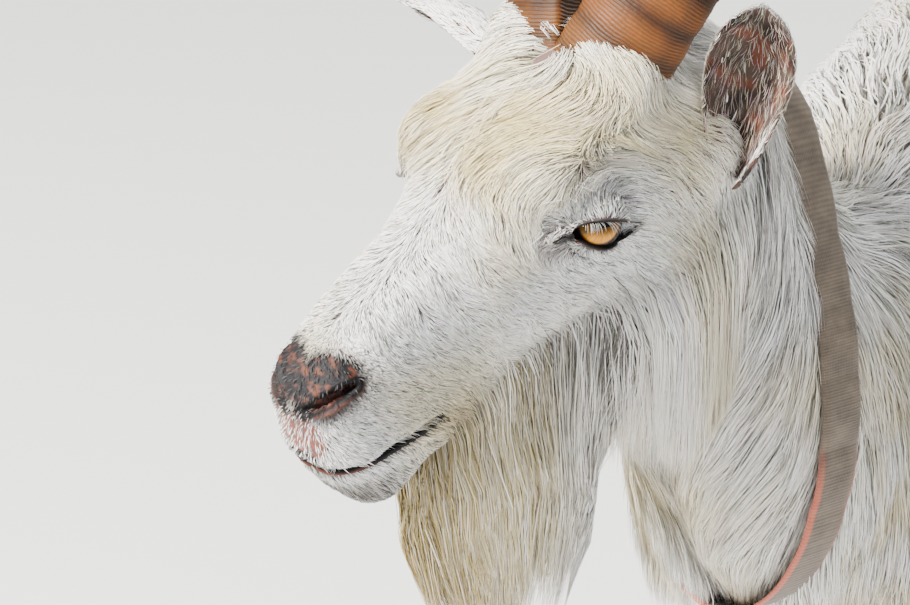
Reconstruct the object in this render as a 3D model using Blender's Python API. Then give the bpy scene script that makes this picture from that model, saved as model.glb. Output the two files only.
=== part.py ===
"""A life-size standing goat with horns, a beard and a webbing collar, as closed solids.

The goat faces -Y, its left side is +X and +Z is up. Lengths are in metres. The flesh is blended from
lofted tubes and rounded masses into one body, which thin cuts then part into head, neck, trunk, tail
and legs. Eyes, ears, horns, beard, collar and claws are solids of their own that fit against the flesh.
All outlines run to the tips of the coat.
"""

import math

import bmesh
import bpy
import numpy as np
from mathutils import Euler, Matrix, Vector

# ---- driving dimensions: an adult goat, 0.75 m at the withers
WITHERS_HEIGHT = 0.770
EYE_HEIGHT = 0.812
EYE_FORWARD = -0.543  # the point midway between the eyes, along Y
EYE_ASIDE = -0.088  # and along X, because the neck bends to the goat's right
HEAD_TURN = math.radians(19.5)  # to the goat's right
HEAD_PITCH = math.radians(23.1)  # the line from eyes to nose, below level
HEAD_ROLL = math.radians(-0.8)  # the right side a little lower

EYE_RADIUS = 0.0145
EYE_SPREAD = 0.0475  # from the middle plane to each eyeball's centre
LID_LENGTH = 0.036
LID_GAPE = 0.015
LID_TURN = math.radians(14)
EAR_LENGTH = 0.117
EAR_HALF_WIDTH = 0.026
EAR_THICKNESS = 0.0032
HORN_LENGTH = 0.36
HORN_BASE = (0.019, 0.0275)  # half width and half depth
HORN_BEND = math.radians(82)
BEARD_LENGTH = 0.185
COLLAR_WIDTH = 0.026
COLLAR_THICKNESS = 0.003
CLAW_HEIGHT = 0.046  # at the coronet, where the leg ends
CLAW_SHIFT, CORONET_SHIFT = -0.017, -0.006  # the middle of each, ahead of the leg's own axis
CORONET_SLOPE = 0.12
LEG_SPREAD = 0.082

GAP = 0.0003  # between solids that meet
COAT_GAP = 0.0012  # and where the coat parts round them
CUT = 0.0006  # the thickness of a cut through the flesh
VOXEL = 0.005
FLESH_TRIANGLES = {"head": 1650, "body": 760, "legs": 850}

RIGHT, FORWARD, UP = Vector((-1, 0, 0)), Vector((0, -1, 0)), Vector((0, 0, 1))

MATERIALS = {  # colour, roughness
    "white_coat": ((0.80, 0.77, 0.70), 0.85),
    "cream_beard": ((0.78, 0.68, 0.48), 0.85),
    "brown_horn": ((0.30, 0.15, 0.06), 0.55),
    "amber_eye": ((0.45, 0.22, 0.04), 0.10),
    "dark_claw": ((0.09, 0.07, 0.06), 0.60),
    "tan_webbing": ((0.38, 0.25, 0.16), 0.90),
}


def clear_scene():
    for obj in list(bpy.data.objects):
        bpy.data.objects.remove(obj)


def material(name):
    found = bpy.data.materials.get(name)
    if found:
        return found
    colour, roughness = MATERIALS[name]
    made = bpy.data.materials.new(name)
    made.use_nodes = True
    shader = made.node_tree.nodes["Principled BSDF"]
    shader.inputs["Base Color"].default_value = (*colour, 1)
    shader.inputs["Roughness"].default_value = roughness
    return made


def new_object(name, bm, finish=None):
    """An object holding the bmesh, with its faces turned outwards."""
    bm.normal_update()
    bmesh.ops.recalc_face_normals(bm, faces=bm.faces)
    mesh = bpy.data.meshes.new(name)
    bm.to_mesh(mesh)
    bm.free()
    obj = bpy.data.objects.new(name, mesh)
    bpy.context.scene.collection.objects.link(obj)
    if finish:
        obj.data.materials.append(material(finish))
    return obj


# ---- lofts and masses


def smooth_rows(rows, per_span):
    """Rows of numbers along a Catmull-Rom curve through the given rows."""
    rows = np.asarray(rows, float)
    padded = np.vstack([2 * rows[0] - rows[1], rows, 2 * rows[-1] - rows[-2]])
    t = np.linspace(0, 1, per_span, endpoint=False)[:, None]
    spans = [
        0.5
        * (
            2 * b
            + (c - a) * t
            + (2 * a - 5 * b + 4 * c - d) * t**2
            + (3 * b - a - 3 * c + d) * t**3
        )
        for a, b, c, d in zip(padded, padded[1:], padded[2:], padded[3:])
    ]
    return np.vstack([*spans, rows[-1:]])


def unit(vectors):
    return vectors / np.linalg.norm(vectors, axis=-1, keepdims=True)


def oval(sides, egg=0.0, power=2.0):
    """A closed outline of unit size: a superellipse, wider towards +second axis where egg is positive."""
    angle = np.linspace(0, 2 * math.pi, sides, endpoint=False)
    across, along = np.cos(angle), np.sin(angle)
    across = np.sign(across) * np.abs(across) ** (2 / power)
    along = np.sign(along) * np.abs(along) ** (2 / power)
    return across * (1 + egg * along), along


def skinned(bm, rings):
    """Faces over successive rings of points, closed by a face at each end."""
    loops = [[bm.verts.new(point) for point in ring] for ring in rings]
    count = len(loops[0])
    for near, far in zip(loops, loops[1:]):
        for i in range(count):
            j = (i + 1) % count
            bm.faces.new((near[i], near[j], far[j], far[i]))
    bm.faces.new(loops[0])
    bm.faces.new(loops[-1])


def tube_rings(stations, side=(1, 0, 0), sides=24, per_span=4):
    """Rings along a bent tube. A station is x, y, z, half width, half depth, egg and power."""
    rows = smooth_rows(stations, per_span)
    centre = rows[:, :3]
    tangent = unit(np.gradient(centre, axis=0))
    across = np.asarray(side, float) - (tangent @ np.asarray(side, float))[:, None] * tangent
    across = unit(across)
    depth = np.cross(across, tangent)
    rings = []
    for row, middle, a, d in zip(rows, centre, across, depth):
        x, y = oval(sides, row[5], row[6])
        rings.append(middle + np.outer(x * row[3], a) + np.outer(y * row[4], d))
    return rings


def add_tube(bm, stations, **shape):
    part = bmesh.new()
    skinned(part, tube_rings(stations, **shape))
    absorb(bm, part)


def add_mass(bm, centre, radii, turn=(0, 0, 0), place=Matrix.Identity(4)):
    """An ellipsoid, such as a muscle or a bone's end."""
    part = bmesh.new()
    bmesh.ops.create_icosphere(part, subdivisions=3, radius=1)
    shape = Matrix.Translation(centre) @ Euler(turn).to_matrix().to_4x4() @ Matrix.Diagonal((*radii, 1))
    part.transform(place @ shape)
    absorb(bm, part)


def absorb(bm, part):
    """Adds one bmesh to another, its faces turned outwards."""
    part.normal_update()
    bmesh.ops.recalc_face_normals(part, faces=part.faces)
    mesh = bpy.data.meshes.new("part")
    part.to_mesh(mesh)
    part.free()
    bm.from_mesh(mesh)
    bpy.data.meshes.remove(mesh)


# ---- the head's own frame: x to the goat's left, y back from the eyes, z out of the forehead


def head_frame():
    turn = Matrix.Rotation(-HEAD_TURN, 4, "Z")
    pitch = Matrix.Rotation(HEAD_PITCH, 4, "X")
    roll = Matrix.Rotation(HEAD_ROLL, 4, "Y")
    return Matrix.Translation((EYE_ASIDE, EYE_FORWARD, EYE_HEIGHT)) @ turn @ pitch @ roll


HEAD = head_frame()

# forward of the eyes, top, bottom, half width, egg, power
HEAD_PROFILE = [
    (0.165, -0.022, -0.042, 0.010, 0.0, 2.0),
    (0.160, -0.008, -0.056, 0.020, 0.0, 2.2),
    (0.150, 0.008, -0.068, 0.026, 0.0, 2.3),
    (0.135, 0.018, -0.075, 0.0300, 0.0, 2.3),
    (0.115, 0.021, -0.076, 0.0315, 0.05, 2.3),
    (0.090, 0.024, -0.078, 0.0335, 0.10, 2.3),
    (0.060, 0.029, -0.082, 0.037, 0.12, 2.2),
    (0.030, 0.038, -0.090, 0.043, 0.16, 2.2),
    (0.000, 0.050, -0.100, 0.051, 0.16, 2.2),
    (-0.030, 0.056, -0.110, 0.058, 0.14, 2.2),
    (-0.060, 0.055, -0.116, 0.061, 0.10, 2.2),
    (-0.090, 0.046, -0.115, 0.061, 0.0, 2.0),
    (-0.120, 0.026, -0.105, 0.054, 0.0, 2.0),
]

# masses on each side of the head: left, forward, out of the forehead, then half sizes the same way
HEAD_MASSES = [
    (0.044, 0.002, 0.004, 0.0190, 0.0250, 0.0215),  # rim of the orbit
    (0.036, -0.006, 0.028, 0.0220, 0.0320, 0.0170),  # brow
    (0.047, -0.048, -0.016, 0.0150, 0.0460, 0.0170),  # cheekbone
    (0.040, -0.046, -0.066, 0.0240, 0.0460, 0.0480),  # jaw muscle
    (0.030, 0.040, -0.018, 0.0140, 0.0400, 0.0200),  # face crest
    (0.012, 0.075, 0.014, 0.0140, 0.0650, 0.0120),  # nasal bone
    (0.0150, 0.142, 0.000, 0.0125, 0.0170, 0.0135),  # wing of the nostril
    (0.0140, 0.142, -0.032, 0.0170, 0.0220, 0.0190),  # upper lip
    (0.0100, 0.136, -0.064, 0.0170, 0.0230, 0.0140),  # lower lip and chin
    (0.024, 0.090, -0.045, 0.0130, 0.0400, 0.0260),  # cheek beside the mouth
    (0.026, -0.064, 0.040, 0.0290, 0.0320, 0.0210),  # boss under the horn
    (0.052, -0.082, -0.022, 0.0180, 0.0260, 0.0280),  # root of the ear
]


def add_head(bm):
    stations = [
        (0, -ahead, (top + bottom) / 2, width, (top - bottom) / 2, egg, power)
        for ahead, top, bottom, width, egg, power in HEAD_PROFILE
    ]
    part = bmesh.new()
    skinned(part, tube_rings(stations, sides=32, per_span=3))
    part.transform(HEAD)
    absorb(bm, part)
    for left, ahead, out, rx, ry, rz in HEAD_MASSES:
        for side in (1, -1):
            add_mass(bm, (side * left, -ahead, out), (rx, ry, rz), place=HEAD)


# ---- neck, trunk and tail


def neck_stations():
    """From inside the head to inside the chest."""
    first = HEAD @ Vector((0, 0.060, -0.036))
    second = HEAD @ Vector((0, 0.104, -0.056))
    return [
        (*first, 0.050, 0.066, 0.0, 2.0),
        (*second, 0.055, 0.070, 0.0, 2.0),
        (-0.040, -0.410, 0.722, 0.068, 0.084, -0.05, 2.0),
        (-0.020, -0.360, 0.640, 0.082, 0.104, -0.05, 2.0),
        (-0.004, -0.290, 0.575, 0.100, 0.132, -0.05, 2.0),
        (0.0, -0.210, 0.510, 0.105, 0.135, -0.05, 2.0),
    ]


# along Y, top, bottom, half width, egg, power
TRUNK_PROFILE = [
    (-0.375, 0.600, 0.480, 0.060, 0.0, 2.0),
    (-0.345, 0.660, 0.425, 0.094, 0.0, 2.0),
    (-0.285, 0.732, 0.385, 0.118, -0.08, 2.1),
    (-0.200, WITHERS_HEIGHT, 0.365, 0.134, -0.20, 2.2),
    (-0.080, 0.756, 0.345, 0.150, -0.18, 2.2),
    (0.060, 0.744, 0.335, 0.166, -0.14, 2.2),
    (0.190, 0.752, 0.350, 0.168, -0.08, 2.2),
    (0.290, 0.764, 0.395, 0.156, 0.00, 2.3),
    (0.370, 0.756, 0.440, 0.142, 0.05, 2.3),
    (0.435, 0.716, 0.475, 0.118, 0.05, 2.1),
    (0.475, 0.650, 0.525, 0.070, 0.0, 2.0),
]

# on each side: x, y, z, half sizes, then a turn about X
BODY_MASSES = [
    (0.088, -0.262, 0.560, 0.050, 0.085, 0.130, 0.35),  # shoulder
    (0.070, -0.335, 0.520, 0.045, 0.045, 0.070, 0.2),  # point of the shoulder
    (0.092, 0.345, 0.560, 0.060, 0.110, 0.150, 0.25),  # thigh
    (0.078, 0.300, 0.690, 0.055, 0.080, 0.055, 0.0),  # hip
    (0.045, 0.440, 0.620, 0.045, 0.045, 0.070, 0.0),  # pin bone
]

TAIL = [
    (0.0, 0.440, 0.690, 0.034, 0.026, 0.0, 2.0),
    (0.0, 0.485, 0.705, 0.032, 0.023, 0.0, 2.0),
    (0.004, 0.525, 0.690, 0.036, 0.024, 0.0, 2.0),
    (0.008, 0.556, 0.645, 0.034, 0.022, 0.0, 2.0),
    (0.010, 0.568, 0.590, 0.022, 0.015, 0.0, 2.0),
    (0.010, 0.570, 0.556, 0.008, 0.007, 0.0, 2.0),
]


def add_body(bm):
    add_tube(
        bm,
        [
            (0, y, (top + bottom) / 2, width, (top - bottom) / 2, egg, power)
            for y, top, bottom, width, egg, power in TRUNK_PROFILE
        ],
        sides=40,
    )
    add_tube(bm, neck_stations(), sides=32)
    add_tube(bm, TAIL, sides=16)
    for x, y, z, rx, ry, rz, turn in BODY_MASSES:
        for side in (1, -1):
            add_mass(bm, (side * x, y, z), (rx, ry, rz), (turn, 0, 0))


# ---- legs, as x from the leg's own plane, y from the hoof, z, half width, half depth fore and aft

FORELEG = [
    (0.010, 0.030, 0.520, 0.042, 0.070),
    (0.008, 0.048, 0.440, 0.040, 0.062),
    (0.002, 0.036, 0.370, 0.032, 0.042),
    (-0.002, 0.022, 0.305, 0.026, 0.030),
    (-0.003, 0.014, 0.262, 0.027, 0.030),
    (-0.003, 0.017, 0.225, 0.0215, 0.023),
    (-0.003, 0.019, 0.155, 0.0180, 0.020),
    (-0.002, 0.020, 0.108, 0.0225, 0.0250),
    (0.000, 0.008, 0.078, 0.0200, 0.0210),
    (0.000, -0.004, 0.052, 0.0240, 0.0260),
    (0.000, -0.010, 0.030, 0.0220, 0.0260),
]

HINDLEG = [
    (0.008, -0.035, 0.560, 0.058, 0.120),
    (0.018, -0.070, 0.470, 0.052, 0.108),
    (0.012, -0.045, 0.400, 0.040, 0.072),
    (0.004, 0.005, 0.345, 0.029, 0.045),
    (0.000, 0.044, 0.300, 0.0245, 0.034),
    (0.000, 0.046, 0.262, 0.0235, 0.030),
    (0.000, 0.034, 0.215, 0.0200, 0.0235),
    (0.000, 0.026, 0.150, 0.0185, 0.0210),
    (0.000, 0.024, 0.108, 0.0225, 0.0255),
    (0.000, 0.011, 0.078, 0.0200, 0.0210),
    (0.000, -0.002, 0.052, 0.0235, 0.0255),
    (0.000, -0.008, 0.030, 0.0215, 0.0255),
]

# name, side, hoof's y, stations: one forefoot and one hindfoot stand a little ahead
LEGS = [
    ("foreleg_left", 1, -0.275, FORELEG),
    ("foreleg_right", -1, -0.235, FORELEG),
    ("hindleg_left", 1, 0.372, HINDLEG),
    ("hindleg_right", -1, 0.412, HINDLEG),
]
MEAN_HOOF = {"foreleg": -0.255, "hindleg": 0.392}


def leg_stations(name, side, hoof_y, shape):
    """The leg hangs from the same joint whichever foot stands ahead, so the offset fades upwards."""
    offset = hoof_y - MEAN_HOOF[name.split("_")[0]]
    top = shape[0][2]
    return [
        (side * (LEG_SPREAD + x), hoof_y + y - offset * min(1, z / top), z, width, depth, 0, 2.0)
        for x, y, z, width, depth in shape
    ]


def add_legs(bm):
    for name, side, hoof_y, shape in LEGS:
        add_tube(bm, leg_stations(name, side, hoof_y, shape), sides=20)
        for claw in (1, -1):  # dew claws, two bumps behind the fetlock
            centre = (side * LEG_SPREAD + claw * 0.011, hoof_y + 0.040, 0.096)
            add_mass(bm, centre, (0.0075, 0.0085, 0.0110))


# ---- from masses to one skin, and from that to named solids


def evaluated(obj):
    """The object with its modifiers applied."""
    graph = bpy.context.evaluated_depsgraph_get()
    mesh = bpy.data.meshes.new_from_object(obj.evaluated_get(graph))
    obj.modifiers.clear()
    obj.data = mesh
    return obj


def blended_flesh():
    """The whole body as one skin, and a finer copy that stands a little proud of it."""
    bm = bmesh.new()
    add_head(bm)
    add_body(bm)
    add_legs(bm)
    flesh = new_object("flesh", bm)
    remesh = flesh.modifiers.new("blend", "REMESH")
    remesh.mode = "VOXEL"
    remesh.voxel_size = VOXEL
    smooth = flesh.modifiers.new("relax", "SMOOTH")
    smooth.factor, smooth.iterations = 0.5, 10
    evaluated(flesh)
    outline = grown(flesh, COAT_GAP)
    coarse = outline.modifiers.new("coarse", "DECIMATE")
    coarse.ratio = 0.09
    evaluated(outline)
    for region, triangles in FLESH_TRIANGLES.items():
        thin_out(flesh, region, triangles)
    return flesh, outline


def region_of(place):
    """Which part of the flesh a point belongs to, for sharing out its triangles."""
    if (place - HEAD @ Vector((0, -0.035, -0.020))).length < 0.175:
        return "head"
    return "legs" if place.z < 0.40 and not (place.y < 0.25 and place.z > 0.345) else "body"


def thin_out(flesh, region, triangles):
    """Brings one region down to a number of triangles, and leaves the rest as it is."""
    group = flesh.vertex_groups.new(name=region)
    inside = {v.index for v in flesh.data.vertices if region_of(v.co) == region}
    group.add(list(inside), 1, "REPLACE")
    outside = total = 0
    for face in flesh.data.polygons:
        count = len(face.vertices) - 2
        total += count
        if not inside.issuperset(face.vertices):
            outside += count
    decimate = flesh.modifiers.new("thin", "DECIMATE")
    decimate.ratio = (outside + triangles) / total
    decimate.vertex_group = region
    decimate.vertex_group_factor = 1000
    evaluated(flesh)


def slab(centre, normal, reach, thickness=CUT):
    """A thin square cutter."""
    bm = bmesh.new()
    bmesh.ops.create_cube(bm, size=1)
    turn = UP.rotation_difference(Vector(normal)).to_matrix().to_4x4()
    bm.transform(Matrix.Translation(centre) @ turn @ Matrix.Diagonal((2 * reach, 2 * reach, thickness, 1)))
    cutter = new_object("cutter", bm)
    cutter.hide_render, cutter.display_type = True, "WIRE"
    return cutter


def carve(obj, cutter, keep=False):
    """Takes the cutter's volume out of the object."""
    cut = obj.modifiers.new("carve", "BOOLEAN")
    cut.operation, cut.solver, cut.object = "DIFFERENCE", "EXACT", cutter
    evaluated(obj)
    if not keep:
        bpy.data.objects.remove(cutter)
    return obj


def islands(obj):
    """The separate closed shells of an object, each as a bmesh, largest first."""
    bm = bmesh.new()
    bm.from_mesh(obj.data)
    left, found = set(bm.verts), []
    while left:
        shell, edge = set(), [left.pop()]
        while edge:
            vert = edge.pop()
            shell.add(vert)
            for link in vert.link_edges:
                other = link.other_vert(vert)
                if other in left:
                    left.remove(other)
                    edge.append(other)
        found.append({vert.index for vert in shell})
    bm.free()
    pieces = []
    for shell in sorted(found, key=len, reverse=True):
        piece = bmesh.new()
        piece.from_mesh(obj.data)
        piece.verts.ensure_lookup_table()
        outside = [vert for vert in piece.verts if vert.index not in shell]
        bmesh.ops.delete(piece, geom=outside, context="VERTS")
        pieces.append(piece)
    return pieces


def part_off(whole, name, centre, normal, reach, finish="white_coat"):
    """Cuts the whole with a slab, and returns the side that the normal points to as a new object."""
    carve(whole, slab(centre, normal, reach))
    pieces = islands(whole)
    beyond = []
    rest = []
    for piece in pieces:
        middle = sum((vert.co for vert in piece.verts), Vector()) / len(piece.verts)
        ahead = (middle - Vector(centre)).dot(Vector(normal)) > 0
        (beyond if ahead and not beyond else rest).append(piece)
    made = new_object(name, beyond[0], finish)
    kept = bmesh.new()
    for piece in rest:
        if len(piece.verts) > 8:
            absorb(kept, piece)
    kept.to_mesh(whole.data)
    kept.free()
    return made


def cut_up(flesh):
    """Head, neck, tail and legs come off, and the trunk is what stays."""
    parts = {}
    for name, side, hoof_y, _ in LEGS:
        if name.startswith("fore"):
            where, lean, reach = (side * 0.086, -0.220, 0.366), (side * 0.42, 0, -0.90), 0.062
        else:
            where, lean, reach = (side * 0.096, 0.340, 0.415), (side * 0.30, 0.35, -0.89), 0.093
        leg = part_off(flesh, name, where, lean, reach)
        coronet = (side * LEG_SPREAD, hoof_y + CORONET_SHIFT, CLAW_HEIGHT)
        foot = part_off(leg, "foot", coronet, (0, CORONET_SLOPE, -1), 0.06)
        bpy.data.objects.remove(foot)
        parts[name] = leg
    parts["tail"] = part_off(flesh, "tail", (0, 0.482, 0.700), (0, 0.95, 0.15), 0.05)
    throat_to_nape = HEAD @ Vector((0, 0.100, -0.067))
    towards_head = HEAD.to_3x3() @ Vector((0, -0.69, 0.72))
    neck = part_off(flesh, "neck", (-0.006, -0.300, 0.600), (-0.10, -0.66, 0.74), 0.27)
    parts["head"] = part_off(neck, "head", throat_to_nape, towards_head, 0.16)
    parts["neck"] = neck
    flesh.name = "trunk"
    flesh.data.materials.append(material("white_coat"))
    parts["trunk"] = flesh
    return parts


# ---- eyes, ears, horns, beard, collar and claws


def grown(obj, by):
    """A copy of the object that stands proud of it all over, for carving its neighbour."""
    copy = obj.copy()
    copy.data = obj.data.copy()
    bpy.context.scene.collection.objects.link(copy)
    swell = copy.modifiers.new("swell", "DISPLACE")
    swell.strength, swell.mid_level = by, 0
    return evaluated(copy)


def make_eye(name, side):
    bm = bmesh.new()
    bmesh.ops.create_uvsphere(bm, u_segments=14, v_segments=8, radius=EYE_RADIUS)
    bm.transform(HEAD @ Matrix.Translation((side * EYE_SPREAD, 0, 0)) @ Matrix.Rotation(math.pi / 2, 4, "Y"))
    return new_object(name, bm, "amber_eye")


def lid_opening(side):
    """What the lids leave open: a long oval that slopes down towards the back of the head."""
    bm = bmesh.new()
    bmesh.ops.create_uvsphere(bm, u_segments=16, v_segments=8, radius=1)
    slope = Matrix.Rotation(side * math.radians(-22), 4, "X") @ Matrix.Rotation(side * LID_TURN, 4, "Z")
    at = Matrix.Translation((side * (EYE_SPREAD + 0.016), 0.003, -0.003))
    bm.transform(HEAD @ at @ slope @ Matrix.Diagonal((0.014, LID_LENGTH / 2, LID_GAPE / 2, 1)))
    return new_object("cutter", bm)


def horn_rings(side):
    """A horn that leaves the brow up and back, bends on backwards and tapers to its tip."""
    count, sides = 13, 12
    along = np.linspace(0, 1, count)
    bend = HORN_BEND * along
    start = math.radians(50)  # above the way back, in the head's frame
    step = HORN_LENGTH / (count - 1)
    back, out = np.cos(start - bend), np.sin(start - bend)
    aside = 0.30 + 0.12 * along
    steps = unit(np.column_stack([side * aside, back, out])) * step
    root = np.array([side * 0.022, 0.061, 0.031])
    centre = root + np.cumsum(steps, axis=0) - steps[0]
    tangent = unit(np.gradient(centre, axis=0))
    keel = np.array([-0.765 * side, -0.225, 0.603])  # the way that the section is deepest
    deep = unit(keel - (tangent @ keel)[:, None] * tangent)
    wide = np.cross(deep, tangent)
    taper = (1 - along) ** 0.72 + 0.07
    x, y = oval(sides, 0.22, 2.1)
    return [
        c + np.outer(x * HORN_BASE[0] * t, w) + np.outer(y * HORN_BASE[1] * t, d)
        for c, t, w, d in zip(centre, taper, wide, deep)
    ]


def make_horn(name, side):
    bm = bmesh.new()
    skinned(bm, horn_rings(side))
    bm.transform(HEAD)
    return new_object(name, bm, "brown_horn")


def make_ear(name, root, direction, facing):
    """A cupped leaf: nearly a tube at its root, open in the middle and rounded at the tip."""
    along = Vector(direction).normalized()
    open_to = (Vector(facing) - Vector(facing).dot(along) * along).normalized()
    across = along.cross(open_to)
    rows, columns = 9, 7
    bm = bmesh.new()
    grid = []
    for i in range(rows):
        v = i / (rows - 1)
        reach = (v - 0.45) / (0.55 if v > 0.45 else 0.56)
        half = EAR_HALF_WIDTH * math.sqrt(max(0.02, 1 - abs(reach) ** 2.4))
        spread = math.radians(95) * (1 - v) ** 2 + math.radians(50)
        radius = 1.12 * half / spread * 1.0
        row = []
        for j in range(columns):
            angle = spread * (2 * j / (columns - 1) - 1)
            lean = -0.10 * EAR_LENGTH * math.sin(math.pi * v)
            place = (
                Vector(root)
                + along * (v * EAR_LENGTH)
                + across * (radius * math.sin(angle))
                + open_to * (radius * (1 - math.cos(angle)) + lean)
            )
            row.append(bm.verts.new(place))
        grid.append(row)
    for low, high in zip(grid, grid[1:]):
        for j in range(columns - 1):
            bm.faces.new((low[j], low[j + 1], high[j + 1], high[j]))
    bm.transform(HEAD)
    ear = new_object(name, bm, "white_coat")
    wall = ear.modifiers.new("wall", "SOLIDIFY")
    wall.thickness, wall.offset = EAR_THICKNESS, 0
    return evaluated(ear)


# under the jaw, from the chin back: forward of the eyes, lowest point, half width
JAW_HAIR = [
    (0.135, -0.080, 0.012),
    (0.110, -0.105, 0.022),
    (0.070, -0.140, 0.031),
    (0.030, -0.163, 0.039),
    (-0.010, -0.170, 0.047),
    (-0.045, -0.162, 0.052),
    (-0.075, -0.144, 0.048),
    (-0.098, -0.120, 0.034),
]


def make_beard():
    """Hair that hangs along the whole jaw and draws together below the chin."""
    bm = bmesh.new()
    part = bmesh.new()
    stations = [
        (0, -ahead, (low - 0.060) / 2, width, (-0.060 - low) / 2, 0.0, 2.6)
        for ahead, low, width in JAW_HAIR
    ]
    skinned(part, tube_rings(stations, sides=16, per_span=3))
    part.transform(HEAD)
    absorb(bm, part)
    top = HEAD @ Vector((0, -0.065, -0.075))
    low = top + Vector((0.006, 0.036, -BEARD_LENGTH))
    forward = (HEAD.to_3x3() @ FORWARD).to_2d().normalized()
    side = Vector((-forward.y, forward.x, 0))
    part = bmesh.new()
    stations = [
        (*top.lerp(low, drop), width, depth, 0, 2.0)
        for drop, depth, width in (
            (0.0, 0.072, 0.024),
            (0.25, 0.070, 0.032),
            (0.45, 0.060, 0.033),
            (0.68, 0.043, 0.026),
            (0.88, 0.024, 0.016),
            (1.0, 0.008, 0.007),
        )
    ]
    skinned(part, tube_rings(stations, side=side, sides=16, per_span=3))
    absorb(bm, part)
    beard = new_object("beard", bm, "cream_beard")
    remesh = beard.modifiers.new("blend", "REMESH")
    remesh.mode, remesh.voxel_size = "VOXEL", VOXEL
    relax = beard.modifiers.new("relax", "SMOOTH")
    relax.factor, relax.iterations = 0.5, 8
    thin = beard.modifiers.new("thin", "DECIMATE")
    thin.ratio = 0.022
    return evaluated(beard)


COLLAR_CENTRE = np.array([-0.037, -0.378, 0.575])
COLLAR_FACES = unit(np.array([-0.466, -0.882, 0.066]))  # towards the head: lower in front than at the nape


def collar_line():
    """Where the neck's surface crosses the collar's plane."""
    lines = np.array(tube_rings(neck_stations(), sides=24, per_span=8))
    off = (lines - COLLAR_CENTRE) @ COLLAR_FACES
    last = (off > 0).sum(axis=0) - 1  # the last ring of each lengthwise line ahead of the plane
    pick = np.arange(lines.shape[1])
    near, far = off[last, pick], off[last + 1, pick]
    share = (near / (near - far))[:, None]
    return lines[last, pick] * (1 - share) + lines[last + 1, pick] * share


def make_collar(extra=0.0):
    """A flat band round the neck. Extra widens and thickens it for carving its bed in the coat."""
    half = COLLAR_WIDTH / 2 + extra
    ring = collar_line()
    outward = ring - ring.mean(axis=0)
    outward = unit(outward - (outward @ COLLAR_FACES)[:, None] * COLLAR_FACES)
    inner = -0.003 - extra
    outer = inner + COLLAR_THICKNESS + extra + (0.02 if extra else 0)
    bm = bmesh.new()
    loops = [
        [bm.verts.new(p) for p in ring + outward * off + COLLAR_FACES * shift]
        for off, shift in ((inner, -half), (outer, -half), (outer, half), (inner, half))
    ]
    count = len(ring)
    for a, b in zip(loops, loops[1:] + loops[:1]):
        for i in range(count):
            j = (i + 1) % count
            bm.faces.new((a[i], a[j], b[j], b[i]))
    return new_object("collar" if not extra else "bed", bm, "tan_webbing")


def make_claw(name, x, hoof_y, side):
    """One digit of a cloven hoof, flat below, with its toe drawn forwards and inwards."""
    sides = 10
    angle = np.linspace(0, 2 * math.pi, sides, endpoint=False)
    rings = []
    for lift, length, width, back in (
        (0.0, 0.0345, 0.0125, 0.0),
        (0.10, 0.0350, 0.0130, 0.001),
        (0.55, 0.0300, 0.0122, 0.006),
        (1.0, 0.0250, 0.0108, 0.010),
    ):
        toe = 0.35 * np.maximum(0, -np.sin(angle)) ** 2
        ring_x = width * np.cos(angle) * (1 - toe) - side * 0.004 * np.maximum(0, -np.sin(angle)) ** 3
        ring_y = length * np.sin(angle) + back
        coronet = CLAW_HEIGHT - CUT / 2 - GAP + CORONET_SLOPE * (ring_y + CLAW_SHIFT - CORONET_SHIFT)
        rings.append(np.column_stack([x + ring_x, hoof_y + CLAW_SHIFT + ring_y, coronet * lift]))
    bm = bmesh.new()
    skinned(bm, rings)
    return new_object(name, bm, "dark_claw")


def dress_head(head, outline):
    """Adds what grows from the head, each trimmed to the outline of the flesh."""
    for name, side in (("horn_left", 1), ("horn_right", -1)):
        carve(make_horn(name, side), outline, keep=True)
    ear = make_ear("ear_left", (0.060, 0.084, -0.036), (0.30, 0.26, 0.92), (0.55, -0.85, 0.1))
    carve(ear, outline, keep=True)
    ear = make_ear("ear_right", (-0.048, 0.074, -0.004), (-0.99, 0.08, 0.06), (-0.1, -0.85, -0.45))
    carve(ear, outline, keep=True)
    carve(make_beard(), outline)
    for name, side in (("eye_left", 1), ("eye_right", -1)):
        eye = make_eye(name, side)
        carve(carve(head, grown(eye, GAP)), lid_opening(side))


def keep_largest(obj):
    """Drops loose crumbs that a trim has left."""
    pieces = islands(obj)
    pieces[0].to_mesh(obj.data)
    for piece in pieces:
        piece.free()


def stand_on_centre():
    """Puts the origin on the floor, at the middle of the goat's box."""
    graph = bpy.context.evaluated_depsgraph_get()
    solids = [obj for obj in bpy.data.objects if not obj.hide_render]
    points = np.array([v.co for obj in solids for v in obj.evaluated_get(graph).data.vertices])
    low, high = points.min(axis=0), points.max(axis=0)
    shift = Matrix.Translation((-(low[0] + high[0]) / 2, -(low[1] + high[1]) / 2, -low[2]))
    for obj in solids:
        obj.data.transform(shift)


def main():
    clear_scene()
    flesh, outline = blended_flesh()
    parts = cut_up(flesh)
    dress_head(parts["head"], outline)
    for name in ("neck", "trunk"):
        carve(parts[name], make_collar(GAP))
    make_collar()
    for name, side, hoof_y, _ in LEGS:
        for digit, claw in (("outer", 1), ("inner", -1)):
            x = side * LEG_SPREAD + side * claw * 0.0135
            make_claw(f"claw_{name}_{digit}", x, hoof_y, side * claw)
    for obj in [o for o in bpy.data.objects if not o.hide_render]:
        keep_largest(obj)
        obj.data.shade_smooth()
    stand_on_centre()


main()
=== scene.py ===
"""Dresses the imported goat: skin with lids and ears, eyes, horns, collar and a coat of mesh hair."""

import math

import bpy
import numpy as np
from bpy.props import FloatProperty, FloatVectorProperty, PointerProperty
from mathutils import Matrix, Vector


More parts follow.
